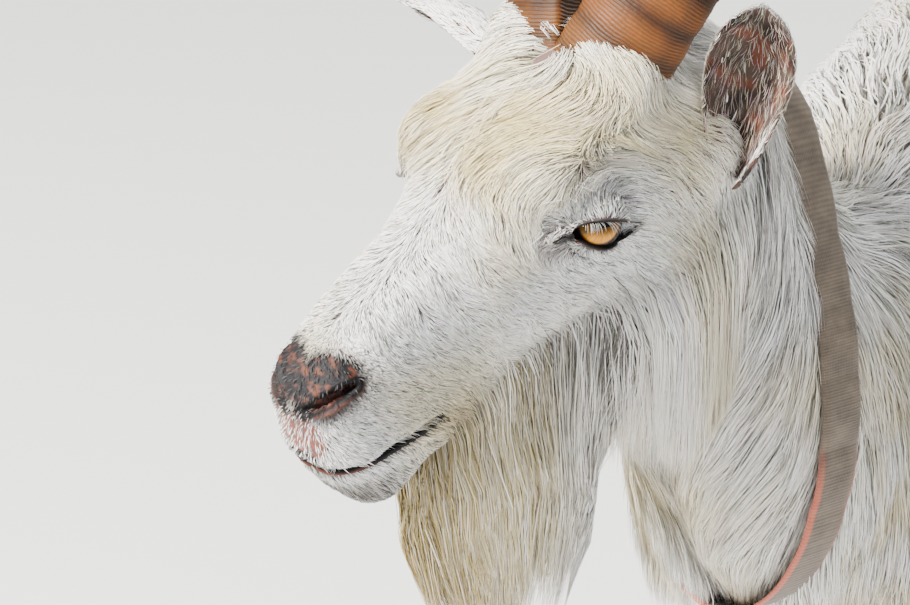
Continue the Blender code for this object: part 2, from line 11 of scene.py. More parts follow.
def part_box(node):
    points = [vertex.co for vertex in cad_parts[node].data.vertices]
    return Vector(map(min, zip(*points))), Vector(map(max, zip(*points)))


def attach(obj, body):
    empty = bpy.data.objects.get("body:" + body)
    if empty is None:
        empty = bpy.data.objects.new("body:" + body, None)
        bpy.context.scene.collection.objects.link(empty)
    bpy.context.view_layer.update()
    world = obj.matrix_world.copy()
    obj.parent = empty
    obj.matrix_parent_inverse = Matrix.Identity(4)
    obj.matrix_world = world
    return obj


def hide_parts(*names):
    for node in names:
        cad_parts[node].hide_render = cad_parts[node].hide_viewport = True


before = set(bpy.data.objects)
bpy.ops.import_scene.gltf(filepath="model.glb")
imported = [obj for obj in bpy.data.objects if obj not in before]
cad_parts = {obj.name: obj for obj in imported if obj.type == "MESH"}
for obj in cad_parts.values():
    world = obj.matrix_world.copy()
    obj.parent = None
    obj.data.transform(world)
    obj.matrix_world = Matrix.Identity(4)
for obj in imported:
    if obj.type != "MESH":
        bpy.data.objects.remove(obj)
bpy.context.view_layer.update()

bl_info = {
    "name": "Bearded goat",
    "version": (1, 0, 0),
    "blender": (4, 5, 0),
    "location": "View3D > Sidebar > Goat",
    "description": "Builds the skin, eyes, horns, collar and coat of a standing goat round its solids",
    "category": "Add Mesh",
}

FLESH = (
    "head", "neck", "trunk", "tail",
    "foreleg_left", "foreleg_right", "hindleg_left", "hindleg_right",
)
SIDES = {1: "left", -1: "right"}

# ---- numbers and small surface tools


def unit(v):
    """Each row divided by its own length."""
    v = np.asarray(v, float)
    return v / np.maximum(np.linalg.norm(v, axis=-1, keepdims=True), 1e-12)


def ease(v, low=0.0, high=1.0):
    """0 below low, 1 above high and smooth between."""
    t = np.clip((np.asarray(v, float) - low) / (high - low), 0, 1)
    return t * t * (3 - 2 * t)


def mix(a, b, share):
    """a * (1 - share) + b * share, with one share for each row."""
    share = np.asarray(share, float)
    if np.ndim(a) == 2 and share.ndim == 1:
        share = share[:, None]
    return np.asarray(a) * (1 - share) + np.asarray(b) * share


def between(a, b, c, d, u):
    """The Catmull-Rom curve from b to c, at u from 0 to 1; a and d are the neighbours before and after."""
    return 0.5 * (
        2 * b + (c - a) * u + (2 * a - 5 * b + 4 * c - d) * u**2 + (3 * b - a - 3 * c + d) * u**3
    )


def through(rows, t):
    """Rows of numbers read at t from 0 to 1 along a Catmull-Rom curve through them."""
    rows = np.asarray(rows, float)
    padded = np.vstack([2 * rows[0] - rows[1], rows, 2 * rows[-1] - rows[-2]])
    place = np.clip(np.asarray(t, float), 0, 1) * (len(rows) - 1)
    span = np.minimum(place.astype(int), len(rows) - 2)
    u = (place - span)[..., None]
    return between(*(padded[span + k] for k in range(4)), u)


def closed_through(rows, t):
    """Rows of numbers read at t from 0 to 1 round a closed Catmull-Rom curve through them."""
    rows = np.asarray(rows, float)
    place = np.mod(np.asarray(t, float), 1) * len(rows)
    span = place.astype(int) % len(rows)
    u = (place - np.floor(place))[..., None]
    return between(*(rows[(span + k) % len(rows)] for k in (-1, 0, 1, 2)), u)


def lumps(points, size, seed=0):
    """Smooth lumps from -1 to 1: sines of the place along nine slanted ways, added up."""
    rng = np.random.default_rng(seed)
    ways = unit(rng.normal(size=(9, 3))) * rng.uniform(0.7, 1.8, (9, 1)) * 2 * math.pi / size
    return np.sin(np.asarray(points) @ ways.T + rng.uniform(0, 6.28, 9)).sum(axis=-1) / 4.5


def near_path(points, path):
    """Distance from each point to a broken line, and how far along it the nearest place is, 0 to 1."""
    path = np.asarray(path, float)
    start, way = path[:-1], np.diff(path, axis=0)
    length = np.linalg.norm(way, axis=1)
    run = np.concatenate([[0], np.cumsum(length)])
    off = points[:, None, :] - start
    share = np.clip((off * way).sum(-1) / length**2, 0, 1)
    gap = np.linalg.norm(off - share[..., None] * way, axis=-1)
    best = gap.argmin(axis=1)
    rows = np.arange(len(points))
    return gap[rows, best], (run[best] + share[rows, best] * length[best]) / run[-1]


def grid_faces(rows, columns, wrap=False):
    """Quads between neighbouring rows of points; with wrap each row is a closed ring."""
    j = np.arange(columns if wrap else columns - 1)
    after = (j + 1) % columns
    low = np.arange(rows - 1)[:, None] * columns
    return np.stack([low + j, low + after, low + columns + after, low + columns + j], -1).reshape(-1, 4)


def capped_faces(rows, around):
    """Quads between closed rings of points, and one flat face over each end."""
    ring = np.arange(around)[None, :]
    return [grid_faces(rows, around, wrap=True), ring[:, ::-1], ring + (rows - 1) * around]


def build_mesh(name, points, faces, smooth=True):
    """A mesh object from arrays. Faces is one array, or a list of arrays of different widths."""
    faces = faces if isinstance(faces, list) else [faces]
    widths = np.concatenate([np.full(len(f), f.shape[1]) for f in faces])
    corners = np.concatenate([f.ravel() for f in faces])
    mesh = bpy.data.meshes.new(name)
    mesh.vertices.add(len(points))
    mesh.vertices.foreach_set("co", np.asarray(points, np.float32).ravel())
    mesh.loops.add(len(corners))
    mesh.loops.foreach_set("vertex_index", corners.astype(np.int32))
    mesh.polygons.add(len(widths))
    mesh.polygons.foreach_set("loop_start", np.concatenate([[0], np.cumsum(widths)[:-1]]).astype(np.int32))
    mesh.polygons.foreach_set("use_smooth", np.full(len(widths), smooth))
    mesh.update(calc_edges=True)
    mesh.validate()
    obj = bpy.data.objects.new(name, mesh)
    bpy.context.scene.collection.objects.link(obj)
    return obj


def mesh_points(mesh):
    """The mesh's points, one row each."""
    out = np.empty(len(mesh.vertices) * 3, np.float32)
    mesh.vertices.foreach_get("co", out)
    return out.reshape(-1, 3).astype(float)


def mesh_normals(mesh):
    """The mesh's normals at its points."""
    out = np.empty(len(mesh.vertices) * 3, np.float32)
    mesh.vertex_normals.foreach_get("vector", out)
    return out.reshape(-1, 3).astype(float)


def mesh_triangles(mesh):
    """The mesh's faces cut into triangles, as rows of three point numbers."""
    mesh.calc_loop_triangles()
    out = np.empty(len(mesh.loop_triangles) * 3, np.int32)
    mesh.loop_triangles.foreach_get("vertices", out)
    return out.reshape(-1, 3)


def face_outwards(obj, ways):
    """Turns the faces round where the normals point against the given ways."""
    if (ways * mesh_normals(obj.data)).sum() < 0:
        obj.data.flip_normals()


def set_points(mesh, points):
    """Moves the mesh's points."""
    mesh.vertices.foreach_set("co", np.asarray(points, np.float32).ravel())
    mesh.update()


def store(mesh, name, values, kind="FLOAT"):
    """A named attribute on the points: a number, or a colour as red, green and blue."""
    if kind == "COLOUR":
        layer = mesh.attributes.new(name, "FLOAT_COLOR", "POINT")
        rgba = np.concatenate([values, np.ones((len(values), 1))], axis=1)
        layer.data.foreach_set("color", rgba.astype(np.float32).ravel())
    else:
        layer = mesh.attributes.new(name, "FLOAT", "POINT")
        layer.data.foreach_set("value", np.asarray(values, np.float32).ravel())


def evaluated(obj):
    """The object's mesh with its modifiers applied."""
    graph = bpy.context.evaluated_depsgraph_get()
    mesh = bpy.data.meshes.new_from_object(obj.evaluated_get(graph))
    old = obj.data
    obj.modifiers.clear()
    obj.data = mesh
    bpy.data.meshes.remove(old)
    return obj


def wear(obj, material):
    """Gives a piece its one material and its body."""
    obj.data.materials.clear()
    obj.data.materials.append(material)
    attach(obj, "root")


# ---- the head's own frame: left, forward, out of the forehead

HEAD_TURN, HEAD_PITCH, HEAD_ROLL = math.radians(-19.5), math.radians(23.1), math.radians(-0.8)


def centre(node):
    """The middle of a solid's box."""
    low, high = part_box(node)
    return (np.array(low) + np.array(high)) / 2


def head_axes():
    """Columns: the head's left, its forward and the way out of its forehead, turned from the world's."""
    turned = (
        Matrix.Rotation(HEAD_TURN, 3, "Z")
        @ Matrix.Rotation(HEAD_PITCH, 3, "X")
        @ Matrix.Rotation(HEAD_ROLL, 3, "Y")
    )
    left, back, out = np.array(turned).T
    return np.column_stack([left, -back, out])


EYES = (centre("eye_left") + centre("eye_right")) / 2
AXES = head_axes()
EYE_SPREAD = float(np.linalg.norm(centre("eye_left") - EYES))


def to_head(points):
    """World places in the head's frame."""
    return (np.asarray(points, float) - EYES) @ AXES


def from_head(local):
    """Places in the head's frame in the world."""
    return EYES + np.asarray(local, float) @ AXES.T


def ways_from_head(local):
    """Ways in the head's frame in the world."""
    return np.asarray(local, float) @ AXES.T


# Lines on the left half of the head, in its own frame. From here on h stands for places in that frame
# and m for the same places with both sides folded on to the left.
MOUTH = [
    (0.0000, 0.1660, -0.0340), (0.0100, 0.1640, -0.0365), (0.0215, 0.1565, -0.0345),
    (0.0285, 0.1400, -0.0365), (0.0315, 0.1230, -0.0400), (0.0345, 0.1090, -0.0400),
]
NOSTRIL = [
    (0.0055, 0.1605, -0.0020), (0.0125, 0.1585, 0.0020), (0.0190, 0.1530, 0.0050),
    (0.0228, 0.1455, 0.0058), (0.0246, 0.1375, 0.0050),
]
FACE_CREASE = [
    (0.0148, 0.0646, 0.0251), (0.0273, 0.0422, 0.0237), (0.0400, 0.0310, 0.0160), (0.0497, 0.0234, 0.0076),
]
CHEEK_CREASE = [(0.063, 0.012, -0.030), (0.052, 0.030, -0.022), (0.040, 0.050, -0.006)]
# What the lids leave open: angles on the eyeball forwards and up from the way it looks, and distance
# from its centre; upper rim from the tear duct to the outer corner, then the lower rim back
LID_RIM = [
    (71, 31, 0.0258), (59, 36, 0.0213), (43, 36, 0.0173), (28, 35, 0.0164), (12, 29, 0.0156),
    (-9, 15, 0.0154), (-31, -7, 0.0171), (-48, -30, 0.0237), (-56, -46, 0.0330), (-46, -47, 0.0285),
    (-32, -46, 0.0235), (-15, -42, 0.0192), (8, -30, 0.0167), (30, -13, 0.0160), (44, 6, 0.0160),
    (58, 17, 0.0182), (67, 24, 0.0217),
]
RIM_ANGLES = [angles_and_reach[:2] for angles_and_reach in LID_RIM]
RIM_STEPS = 136

# the eyeball: its radius, its centre from the socket's, and the way it looks, in the head's frame
BALL_RADIUS = 0.0160
BALL_SHIFT = np.array([0.0022, -0.0040, -0.0018])
GAZE = (0.870, 0.202, 0.451)
SOCKET_REACH = 0.036

# world places on the neck: the strap's middle, the way it faces, and the fold behind the jaw
COLLAR_AT = np.array([-0.0123, -0.326, 0.575])
COLLAR_WAY = np.array([-0.466, -0.882, 0.066])
THROAT_CREASE = np.array([-0.075, -0.330, 0.525])


def mirrored(local):
    """Head points with both sides folded on to the left one."""
    folded = np.array(local, float)
    folded[:, 0] = np.abs(folded[:, 0])
    return folded


def from_socket(local):
    """Places in the head's frame from the middle of the eye socket, both sides folded on to the left."""
    return mirrored(local) - (EYE_SPREAD, 0, 0)


def eye_ways(angles):
    """Ways from an eyeball's centre, left side, from angles forwards and up, in head axes."""
    angles = np.radians(np.asarray(angles, float))
    tilt = np.linalg.norm(angles, axis=-1, keepdims=True)
    across = angles / np.maximum(tilt, 1e-9)
    return np.concatenate([np.cos(tilt), across * np.sin(tilt)], axis=-1)


def eye_angles(ways):
    """Angles forwards and up from ways out of the eyeball's centre, in degrees."""
    ways = unit(ways)
    tilt = np.degrees(np.arccos(np.clip(ways[:, 0], -1, 1)))
    return unit(ways[:, 1:]) * tilt[:, None]


def inside_rim(angles, grow=0.0):
    """How far inside the lids' rim, in degrees; negative outside."""
    loop = closed_through(RIM_ANGLES, np.linspace(0, 1, RIM_STEPS, endpoint=False))
    middle = loop.mean(axis=0)
    around = np.arctan2(*(loop - middle).T[::-1])
    order = np.argsort(around)
    reach = np.linalg.norm(loop - middle, axis=1)
    mine = np.arctan2(*(angles - middle).T[::-1])
    limit = np.interp(mine, around[order], reach[order], period=2 * math.pi)
    return limit + grow - np.linalg.norm(angles - middle, axis=1)


def ball_reach(ways):
    """Distance along each way from the socket's centre to the eyeball's surface."""
    along = ways @ BALL_SHIFT
    return along + np.sqrt(BALL_RADIUS**2 - BALL_SHIFT @ BALL_SHIFT + along**2)


# ---- regions, the depth of the coat and its markings


def region(points):
    """How much a point belongs to the head, the legs and the tail, each from 0 to 1."""
    h = to_head(points)
    behind = np.array([0, -0.100, -0.067])
    towards = unit(np.array([0, 0.69, 0.72]))
    head = ease((h - behind) @ towards, -0.015, 0.012) * (1 - ease(np.linalg.norm(h, axis=1), 0.20, 0.24))
    legs = 1 - ease(points[:, 2], 0.31, 0.38)
    tail = ease(points[:, 1], 0.530, 0.555) * ease(points[:, 2], 0.5, 0.56)
    return head, legs, tail


def coat_depth(points):
    """Depth of coat between skin and solids: 1 mm on the muzzle, 3 to 6 mm on the rest of the head, 4 mm
    on the legs, 10 mm on the tail and 12 mm elsewhere."""
    h = mirrored(to_head(points))
    head, legs, tail = region(points)
    muzzle = ease(h[:, 1], 0.09, 0.14)
    poll = ease(h[:, 2], 0.02, 0.04) * ease(-h[:, 1], -0.02, 0.03)
    face = 0.0026 - 0.0016 * muzzle + 0.0035 * poll
    depth = mix(np.full(len(points), 0.012), face, head)
    depth = mix(depth, 0.0038, legs * (1 - head))
    return mix(depth, 0.010, tail)


WHITE = np.array([0.92, 0.90, 0.855])
COOL = np.array([0.80, 0.83, 0.86])
CREAM = np.array([0.60, 0.47, 0.145])
GOLD = np.array([0.32, 0.21, 0.028])
GREY = np.array([0.33, 0.31, 0.30])
DUCT_BROWN = np.array([0.13, 0.085, 0.068])
EAR_BROWN = np.array([0.070, 0.047, 0.037])
SKIN_GREY = np.array([0.105, 0.088, 0.082])
SKIN_PINK = np.array([0.26, 0.080, 0.054])
SKIN_BLACK = np.array([0.0075, 0.0065, 0.0075])
SKIN_ORANGE = np.array([0.155, 0.045, 0.021])


# the front edge of the jaw's hair: forward of the eyes, by height below them; the neck's coat along it gets
# the painted shadow of that hair
CURTAIN_HEIGHTS = [-0.230, -0.187, -0.163, -0.151, -0.110]
CURTAIN_EDGE = [-0.002, -0.010, -0.022, -0.042, -0.075]


def spot(h, where, radii):
    """A soft round patch in the head's frame."""
    return np.exp(-((((h - np.asarray(where)) / np.asarray(radii)) ** 2).sum(axis=1)))


def spot_band(off, width):
    """1 within 0.3 of the width from a line and 0 past the width."""
    return 1 - ease(np.abs(off), 0.3 * width, width)


def shares(values):
    """Values from -1 to 1 as shares from 0 to 1."""
    return 0.5 + 0.5 * values


def coat_colour(points, settings):
    """The coat's markings: white, cream on the poll, forehead and jaw, grey round muzzle and lids; and a
    painted shadow on the neck under the jaw's hair.
    """
    white, cream, gold = np.array(settings.white), np.array(settings.cream), np.array(settings.gold)
    h = to_head(points)
    m = mirrored(h)
    head = region(points)[0]
    body = 1 - head
    colour = np.tile(white, (len(points), 1))
    colour = mix(colour, cream, 0.45 * ease(shares(lumps(points, 0.09, 3)), 0.45, 1.0))
    throat = spot(h, (0.035, -0.015, -0.215), (0.070, 0.040, 0.075))
    flow = shares(lumps(points * (1.0, 1.0, 0.35), 0.014, 19))
    colour = mix(colour, cream, body * np.clip(0.25 + 1.1 * flow, 0, 1) * 0.62 * throat)
    behind = (points - COLLAR_AT) @ unit(COLLAR_WAY)
    flank = ease(points[:, 0], 0.03, 0.07) * ease(points[:, 2], 0.42, 0.50)
    streaks = spot_band(behind + 0.050, 0.045) * flank
    colour = mix(colour, cream, body * 0.60 * streaks * ease(flow, 0.25, 0.8))
    poll = spot(m, (0.022, -0.015, 0.045), (0.045, 0.050, 0.026))
    temple = spot(m, (0.056, -0.062, 0.012), (0.014, 0.026, 0.050))
    streak = shares(lumps(points, 0.018, 8))
    crown = head * (0.95 * poll + 0.75 * temple) * (0.55 + 0.5 * streak)
    colour = mix(colour, cream, np.clip(crown, 0, 0.9))
    jaw = spot(m, (0.030, 0.055, -0.085), (0.035, 0.070, 0.040))
    colour = mix(colour, cream, 0.75 * head * jaw * (0.6 + 0.4 * streak))
    corner = spot(m, (0.034, 0.100, -0.048), (0.010, 0.016, 0.012))
    colour = mix(colour, gold, 0.55 * head * corner)
    chin = ease(h[:, 1], 0.126, 0.150) * ease(-h[:, 2], 0.042, 0.051)
    colour = mix(colour, GREY * (0.52, 0.50, 0.45), head * 0.66 * chin)
    # painted shadow: the neck's coat darkened in a band along the jaw hair's front edge, where that hair
    # shades it
    edge = np.interp(h[:, 2], CURTAIN_HEIGHTS, CURTAIN_EDGE)
    shaded = spot_band(h[:, 1] - edge, 0.030) * ease(h[:, 2], -0.27, -0.20)
    colour = mix(colour, colour * (0.50, 0.47, 0.43), body * shaded)
    lid = spot(m, (0.060, 0.003, -0.003), (0.020, 0.027, 0.018))
    colour = mix(colour, COOL * 0.92, head * 0.60 * lid)
    duct = spot(m, (0.0550, 0.0230, 0.0050), (0.012, 0.013, 0.010))
    colour = mix(colour, DUCT_BROWN, head * 0.80 * duct)
    nose_rim = 1 - ease(near_path(m, NOSTRIL)[0], 0.004, 0.018)
    colour = mix(colour, GREY, head * 0.6 * nose_rim)
    return mix(colour, GREY * 0.13, head * nose_zones(m)[0])


def nose_pad(m):
    """Distance from the middle of the nose's black pad, 1 at its edge."""
    return np.linalg.norm((m - (0.013, 0.148, 0.0085)) / (0.0190, 0.023, 0.0135), axis=1)


def nose_zones(m):
    """The black pad over and between the nostrils, and the pink skin below them, each 0 to 1."""
    lip = np.linalg.norm((m - (0.005, 0.163, -0.014)) / (0.013, 0.011, 0.018), axis=1)
    return 1 - ease(nose_pad(m), 0.75, 1.25), 1 - ease(lip, 0.70, 1.25)


def bare_nose(m):
    """1 on the hairless skin round the nostrils, 0 on the hair beyond it."""
    pad, lip = nose_zones(m)
    return np.maximum(pad, lip)


def nose_colour(points, m):
    """Black with orange specks above a line through the nostrils, pink with grey specks below it."""
    slit = np.interp(-m[:, 1], [-0.1605, -0.1530, -0.1375], [-0.002, 0.005, 0.005])
    black = ease(m[:, 2] - slit + 0.004 * lumps(points, 0.009, 11), -0.0035, 0.0015)
    colour = mix(np.tile(SKIN_PINK, (len(points), 1)), SKIN_BLACK * 1.2, black)
    specks = ease(lumps(points, 0.0110, 12) + 0.5 * lumps(points, 0.004, 13), 0.15, 0.95)
    colour = mix(colour, SKIN_ORANGE * (0.72, 0.80, 0.85), 0.80 * specks * black)
    return mix(colour, SKIN_GREY, 0.7 * (1 - black) * ease(lumps(points, 0.006, 14), 0.2, 0.6)), black


def skin_colour(points):
    """The skin under the coat: grey-pink, black and pink on the nose, dark lip skin with painted shade
    along the mouth's line, and painted shade in the nostrils, under their rims and in the sockets behind
    the lids.
    """
    m = mirrored(to_head(points))
    head = region(points)[0]
    base = mix(np.tile(WHITE * 0.42, (len(points), 1)), CREAM * 0.6, 0.25)
    fine = shares(lumps(points, 0.012, 5))
    face = mix(np.tile(SKIN_GREY, (len(points), 1)), SKIN_PINK, 0.25 * fine)
    colour = mix(base, face, head)
    nose = bare_nose(m)
    mottled, black = nose_colour(points, m)
    colour = mix(colour, mottled, nose)
    # the mouth's line: dark lip skin, orange on the lower lip's front, with painted shade in its crease
    gap, along = near_path(m, MOUTH)
    mouth_height = np.interp(along, np.linspace(0, 1, len(MOUTH)), [place[2] for place in MOUTH])
    below = ease(mouth_height - m[:, 2], 0.0022, 0.0040)
    lower_front = below * (1 - ease(along, 0.25, 0.55))
    lip_skin = mix(np.tile(SKIN_BLACK, (len(points), 1)), SKIN_ORANGE * 0.75, lower_front)
    colour = mix(colour, lip_skin, (1 - ease(gap, 0.0045, 0.0078)) * head)
    # painted shade in patches on the pink skin under the nostrils' rims
    gap, _ = near_path(m, NOSTRIL)
    under = (1 - ease(gap, 0.0045, 0.0105)) * (1 - black) * nose
    shade_patches = ease(lumps(points, 0.007, 15), -1.1, 0.1)
    colour = mix(colour, SKIN_GREY * (0.40, 0.26, 0.23), 0.92 * under * shade_patches)
    # painted shade inside the nostrils' slits
    colour = mix(colour, SKIN_BLACK * 0.3, head * (1 - ease(gap, 0.0036, 0.0056)))
    # painted shade on the skin in the sockets behind the lids
    off = m - (EYE_SPREAD, 0, 0)
    inside = ease(inside_rim(eye_angles(off)), -2, 2)
    socket = inside * (np.linalg.norm(off, axis=1) < 0.034) * head
    return mix(colour, SKIN_BLACK * 0.5, socket)


# ---- skin

EARS = {  # root, way along, way it opens: left, back and out in the head's frame
    "ear_left": ((0.060, 0.084, -0.036), (0.30, 0.26, 0.92), (0.55, -0.85, 0.1)),
    "ear_right": ((-0.048, 0.074, -0.004), (-0.99, 0.08, 0.06), (-0.1, -0.85, -0.45)),
}
EAR_LENGTH, EAR_HALF_WIDTH = 0.108, 0.0240


def flesh_shell(voxel):
    """The flesh solids closed into one skin: grown to bridge their cuts, remeshed and relaxed."""
    points, faces, count = [], [], 0
    for name in FLESH:
        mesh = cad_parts[name].data
        points.append(mesh_points(mesh))
        faces.append(mesh_triangles(mesh) + count)
        count += len(points[-1])
    skin = build_mesh("skin", np.concatenate(points), np.concatenate(faces))
    weld = skin.modifiers.new("weld", "WELD")
    weld.merge_threshold = 0.00001
    swell = skin.modifiers.new("swell", "DISPLACE")
    swell.strength, swell.mid_level = 0.0009, 0
    remesh = skin.modifiers.new("close", "REMESH")
    remesh.mode, remesh.voxel_size = "VOXEL", voxel
    relax = skin.modifiers.new("relax", "SMOOTH")
    relax.factor, relax.iterations = 0.5, 7
    return evaluated(skin)


def relaxed(mesh, points, weight, rounds):
    """Points drawn to the mean of their neighbours, by weight, a number of times."""
    edges = np.empty(len(mesh.edges) * 2, np.int32)
    mesh.edges.foreach_get("vertices", edges)
    a, b = edges.reshape(-1, 2).T
    degree = np.maximum(np.bincount(edges, minlength=len(points)), 1)[:, None]
    count = len(points)
    for _ in range(rounds):
        sums = [np.bincount(a, column[b], count) + np.bincount(b, column[a], count) for column in points.T]
        points = points + 0.5 * weight[:, None] * (np.stack(sums, -1) / degree - points)
    return points


def refine(obj, wanted):
    """Halves the faces where wanted(points) is true."""
    mesh = obj.data
    for other in bpy.context.selected_objects:
        other.select_set(False)
    bpy.context.view_layer.objects.active = obj
    obj.select_set(True)
    mask = wanted(mesh_points(mesh))
    edges = np.empty(len(mesh.edges) * 2, np.int32)
    mesh.edges.foreach_get("vertices", edges)
    picked = mask[edges.reshape(-1, 2)].all(axis=1)
    for part in (mesh.polygons, mesh.edges, mesh.vertices):
        part.foreach_set("select", np.zeros(len(part), bool))
    mesh.edges.foreach_set("select", picked)
    bpy.ops.object.mode_set(mode="EDIT")
    bpy.ops.mesh.select_mode(type="EDGE")
    bpy.ops.object.mode_set(mode="OBJECT")
    mesh.edges.foreach_set("select", picked)
    bpy.ops.object.mode_set(mode="EDIT")
    bpy.ops.mesh.subdivide(number_cuts=1, smoothness=0.0, ngon=False)
    bpy.ops.object.mode_set(mode="OBJECT")
    obj.select_set(False)


def face_area(reach):
    """The test for refining: round the eyes within the first reach, and forward of the second."""
    def wanted(points):
        h = mirrored(to_head(points))
        eye = np.linalg.norm(h - (EYE_SPREAD + 0.008, 0.003, 0), axis=1) < reach[0]
        nose = (h[:, 1] > reach[1]) & (h[:, 2] > -0.10)
        return (np.linalg.norm(h, axis=1) < 0.22) & (eye | nose)
    return wanted


def fine_area(points):
    """True close to the nostrils and the mouth."""
    h = mirrored(to_head(points))
    return (near_path(h, NOSTRIL)[0] < 0.009) | (near_path(h, MOUTH)[0] < 0.006)


def sculpt_face(points, normals):
    """Nostrils, mouth, creases and eye sockets, pushed in along the normals."""
    m = mirrored(to_head(points))
    close = np.linalg.norm(m, axis=1) < 0.22
    push = np.zeros(len(points))
    gap, along = near_path(m, NOSTRIL)
    width = 0.0012 + 0.0022 * np.sin(np.pi * np.clip(along * 0.95 + 0.05, 0, 1)) ** 0.8
    push -= 0.0065 * (1 - ease(gap, width * 0.45, width * 1.35)) * ease(along, -0.05, 0.25)
    push += 0.0013 * np.exp(-(((gap - width - 0.0022) / 0.0018) ** 2)) * ease(along, 0.05, 0.4)
    gap, _ = near_path(m, MOUTH)
    push -= 0.0050 * (1 - ease(gap, 0.0006, 0.0028))
    push += 0.0007 * np.exp(-(((gap - 0.0040) / 0.0016) ** 2))
    lip_groove = ease(m[:, 1], 0.150, 0.158) * ease(-m[:, 2], -0.002, 0.004)
    push -= 0.0012 * np.exp(-((m[:, 0] / 0.0013) ** 2)) * lip_groove
    gap, _ = near_path(m, FACE_CREASE)
    push -= 0.0009 * np.exp(-((gap / 0.0018) ** 2))
    push -= 0.0006 * np.exp(-(((gap - 0.006) / 0.0022) ** 2))
    gap, _ = near_path(m, CHEEK_CREASE)
    push -= 0.0010 * np.exp(-((gap / 0.0035) ** 2))
    push += 0.00022 * lumps(points, 0.006, 21) * ease(m[:, 1], 0.10, 0.14)
    return hollow_sockets(points + normals * (push * close)[:, None])


def hollow_sockets(points):
    """The skin behind the lids, drawn in to a bowl 6.5 mm under the eyeball's surface."""
    h = to_head(points)
    side = np.where(h[:, :1] > 0, 1.0, -1.0)
    off = from_socket(h)
    reach = np.linalg.norm(off, axis=1)
    angles = eye_angles(off)
    tilt = np.linalg.norm(angles, axis=1)
    socket = (reach < SOCKET_REACH) & (tilt < 86)
    hollow = np.full(len(reach), BALL_RADIUS - 0.0065)
    inner = np.minimum(reach, mix(hollow, reach - 0.0060, ease(tilt, 50, 70)))
    depth = np.where(socket & (inside_rim(angles, 8) > 0), inner, reach)
    sunk = unit(off) * depth[:, None] + (EYE_SPREAD, 0, 0)
    sunk[:, :1] *= side
    return np.where(socket[:, None], from_head(sunk), points)


def over_ball(points):
    """Round the lids the skin lies at least 2 mm over the eyeball."""
    h = to_head(points)
    off = from_socket(h)
    reach = np.linalg.norm(off, axis=1)
    near = np.flatnonzero((reach < 0.030) & (region(points)[0] > 0.5))
    way = unit(off[near])
    outside = ease(-inside_rim(eye_angles(off[near])), 2, 7) * ease(way[:, 0], 0.02, 0.25)
    lack = np.maximum(ball_reach(way) + 0.0020 - reach[near], 0) * outside
    off[near] += way * lack[:, None]
    moved = off + (EYE_SPREAD, 0, 0)
    moved[:, 0] *= np.where(h[:, 0] < 0, -1, 1)
    out = points.copy()
    out[near] = from_head(moved[near])
    return out


def lid_patch(side, skin_points):
    """A lid ring: from the rim on the eyeball, over a rounded edge and a fold, out into the skin.

    Across, v goes from the inside of the rim to the buried border; round, t follows the rim.
    """
    around, rows = RIM_STEPS, 16
    t = np.linspace(0, 1, around, endpoint=False)
    rim = closed_through(LID_RIM, t)
    seat_radius, rim = rim[:, 2], rim[:, :2]
    middle = rim.mean(axis=0)
    outward = unit(rim - middle)
    tilt = np.linalg.norm(rim, axis=1)
    far = rim + outward * mix(34.0, 20.0, ease(tilt, 45, 75))[:, None]
    local = to_head(skin_points)
    off = from_socket(local)[np.sign(local[:, 0]) == side]
    reach = np.linalg.norm(off, axis=1)
    outside = (reach < 0.055) & (inside_rim(eye_angles(off), 9) < 0)
    off, reach = off[outside], reach[outside]
    ways = unit(off)
    rings = []
    upper = np.where(t < 0.47, np.sin(np.pi * np.clip(t / 0.47, 0, 1)), 0)
    for i in range(rows):
        v = max(0.0, (i - 3) / (rows - 4))
        angles = mix(rim, far, np.full(around, v**1.1))
        if i < 3:
            angles = angles - outward * (0.7 * i - 2.0)
            angles = mix(angles, rim - outward * 0.5, np.full(around, 0.6))
        way = eye_ways(angles)
        likeness = way @ ways.T
        nearest = np.argsort(-likeness, axis=1)[:, :6]
        ground = np.median(reach[nearest], axis=1)
        step = (-0.0014, -0.0004, 0.0002, 0.0006)[min(i, 3)]
        seat = np.maximum(seat_radius, ball_reach(way) + 0.0006) + step
        lift = 0.0010 * np.sin(np.pi * min(1, v / 0.45)) * (0.4 + upper)
        fold = -0.0012 * np.exp(-(((v - 0.36) / 0.08) ** 2)) * upper
        top = seat + lift + fold
        out = ease(v, 0.05, 0.80)
        radius = top * (1 - out) + (ground + 0.0005) * out
        if i >= 3:
            radius = np.maximum(radius, ball_reach(way) + 0.0013)
        radius = radius - 0.0030 * ease(v, 0.86, 1.0)
        rings.append(way * radius[:, None] + (EYE_SPREAD, 0, 0))
    points = np.concatenate(rings)
    points[:, 0] *= side
    faces = grid_faces(rows, around, wrap=True)
    return from_head(points), faces if side > 0 else faces[:, ::-1]


def ear_frame(name):
    """An ear's root, the way along it, the way it opens and the way across."""
    root, along, facing = (np.array(v, float) for v in EARS[name])
    along = unit(along)
    opening = unit(facing - facing @ along * along)
    return root, along, opening, np.cross(along, opening)


def ear_point(name, v, w, depth):
    """A point of the ear: v along it, w from edge to edge (-1 to 1), depth inwards from its hollow face.

    A cupped leaf that is nearly a tube at its root: half width follows a rounded power curve, and the
    arc it is bent to spreads from 50 degrees at the tip to 145 at the root.
    """
    root, along, opening, across = ear_frame(name)
    reach = (v - 0.45) / np.where(v > 0.45, 0.55, 0.56)
    half = EAR_HALF_WIDTH * np.sqrt(np.maximum(0.004, 1 - np.abs(reach) ** 2.4))
    spread = np.radians(95) * (1 - v) ** 2 + np.radians(50)
    radius = 1.12 * half / spread
    angle = spread * w
    lean = -0.10 * EAR_LENGTH * np.sin(np.pi * v)
    radial = radius - depth
    local = (
        root
        + along * (v * EAR_LENGTH)[..., None]
        + across * (radial * np.sin(angle))[..., None]
        + opening * (radius - radial * np.cos(angle) + lean)[..., None]
    )
    return local * (1, -1, 1)


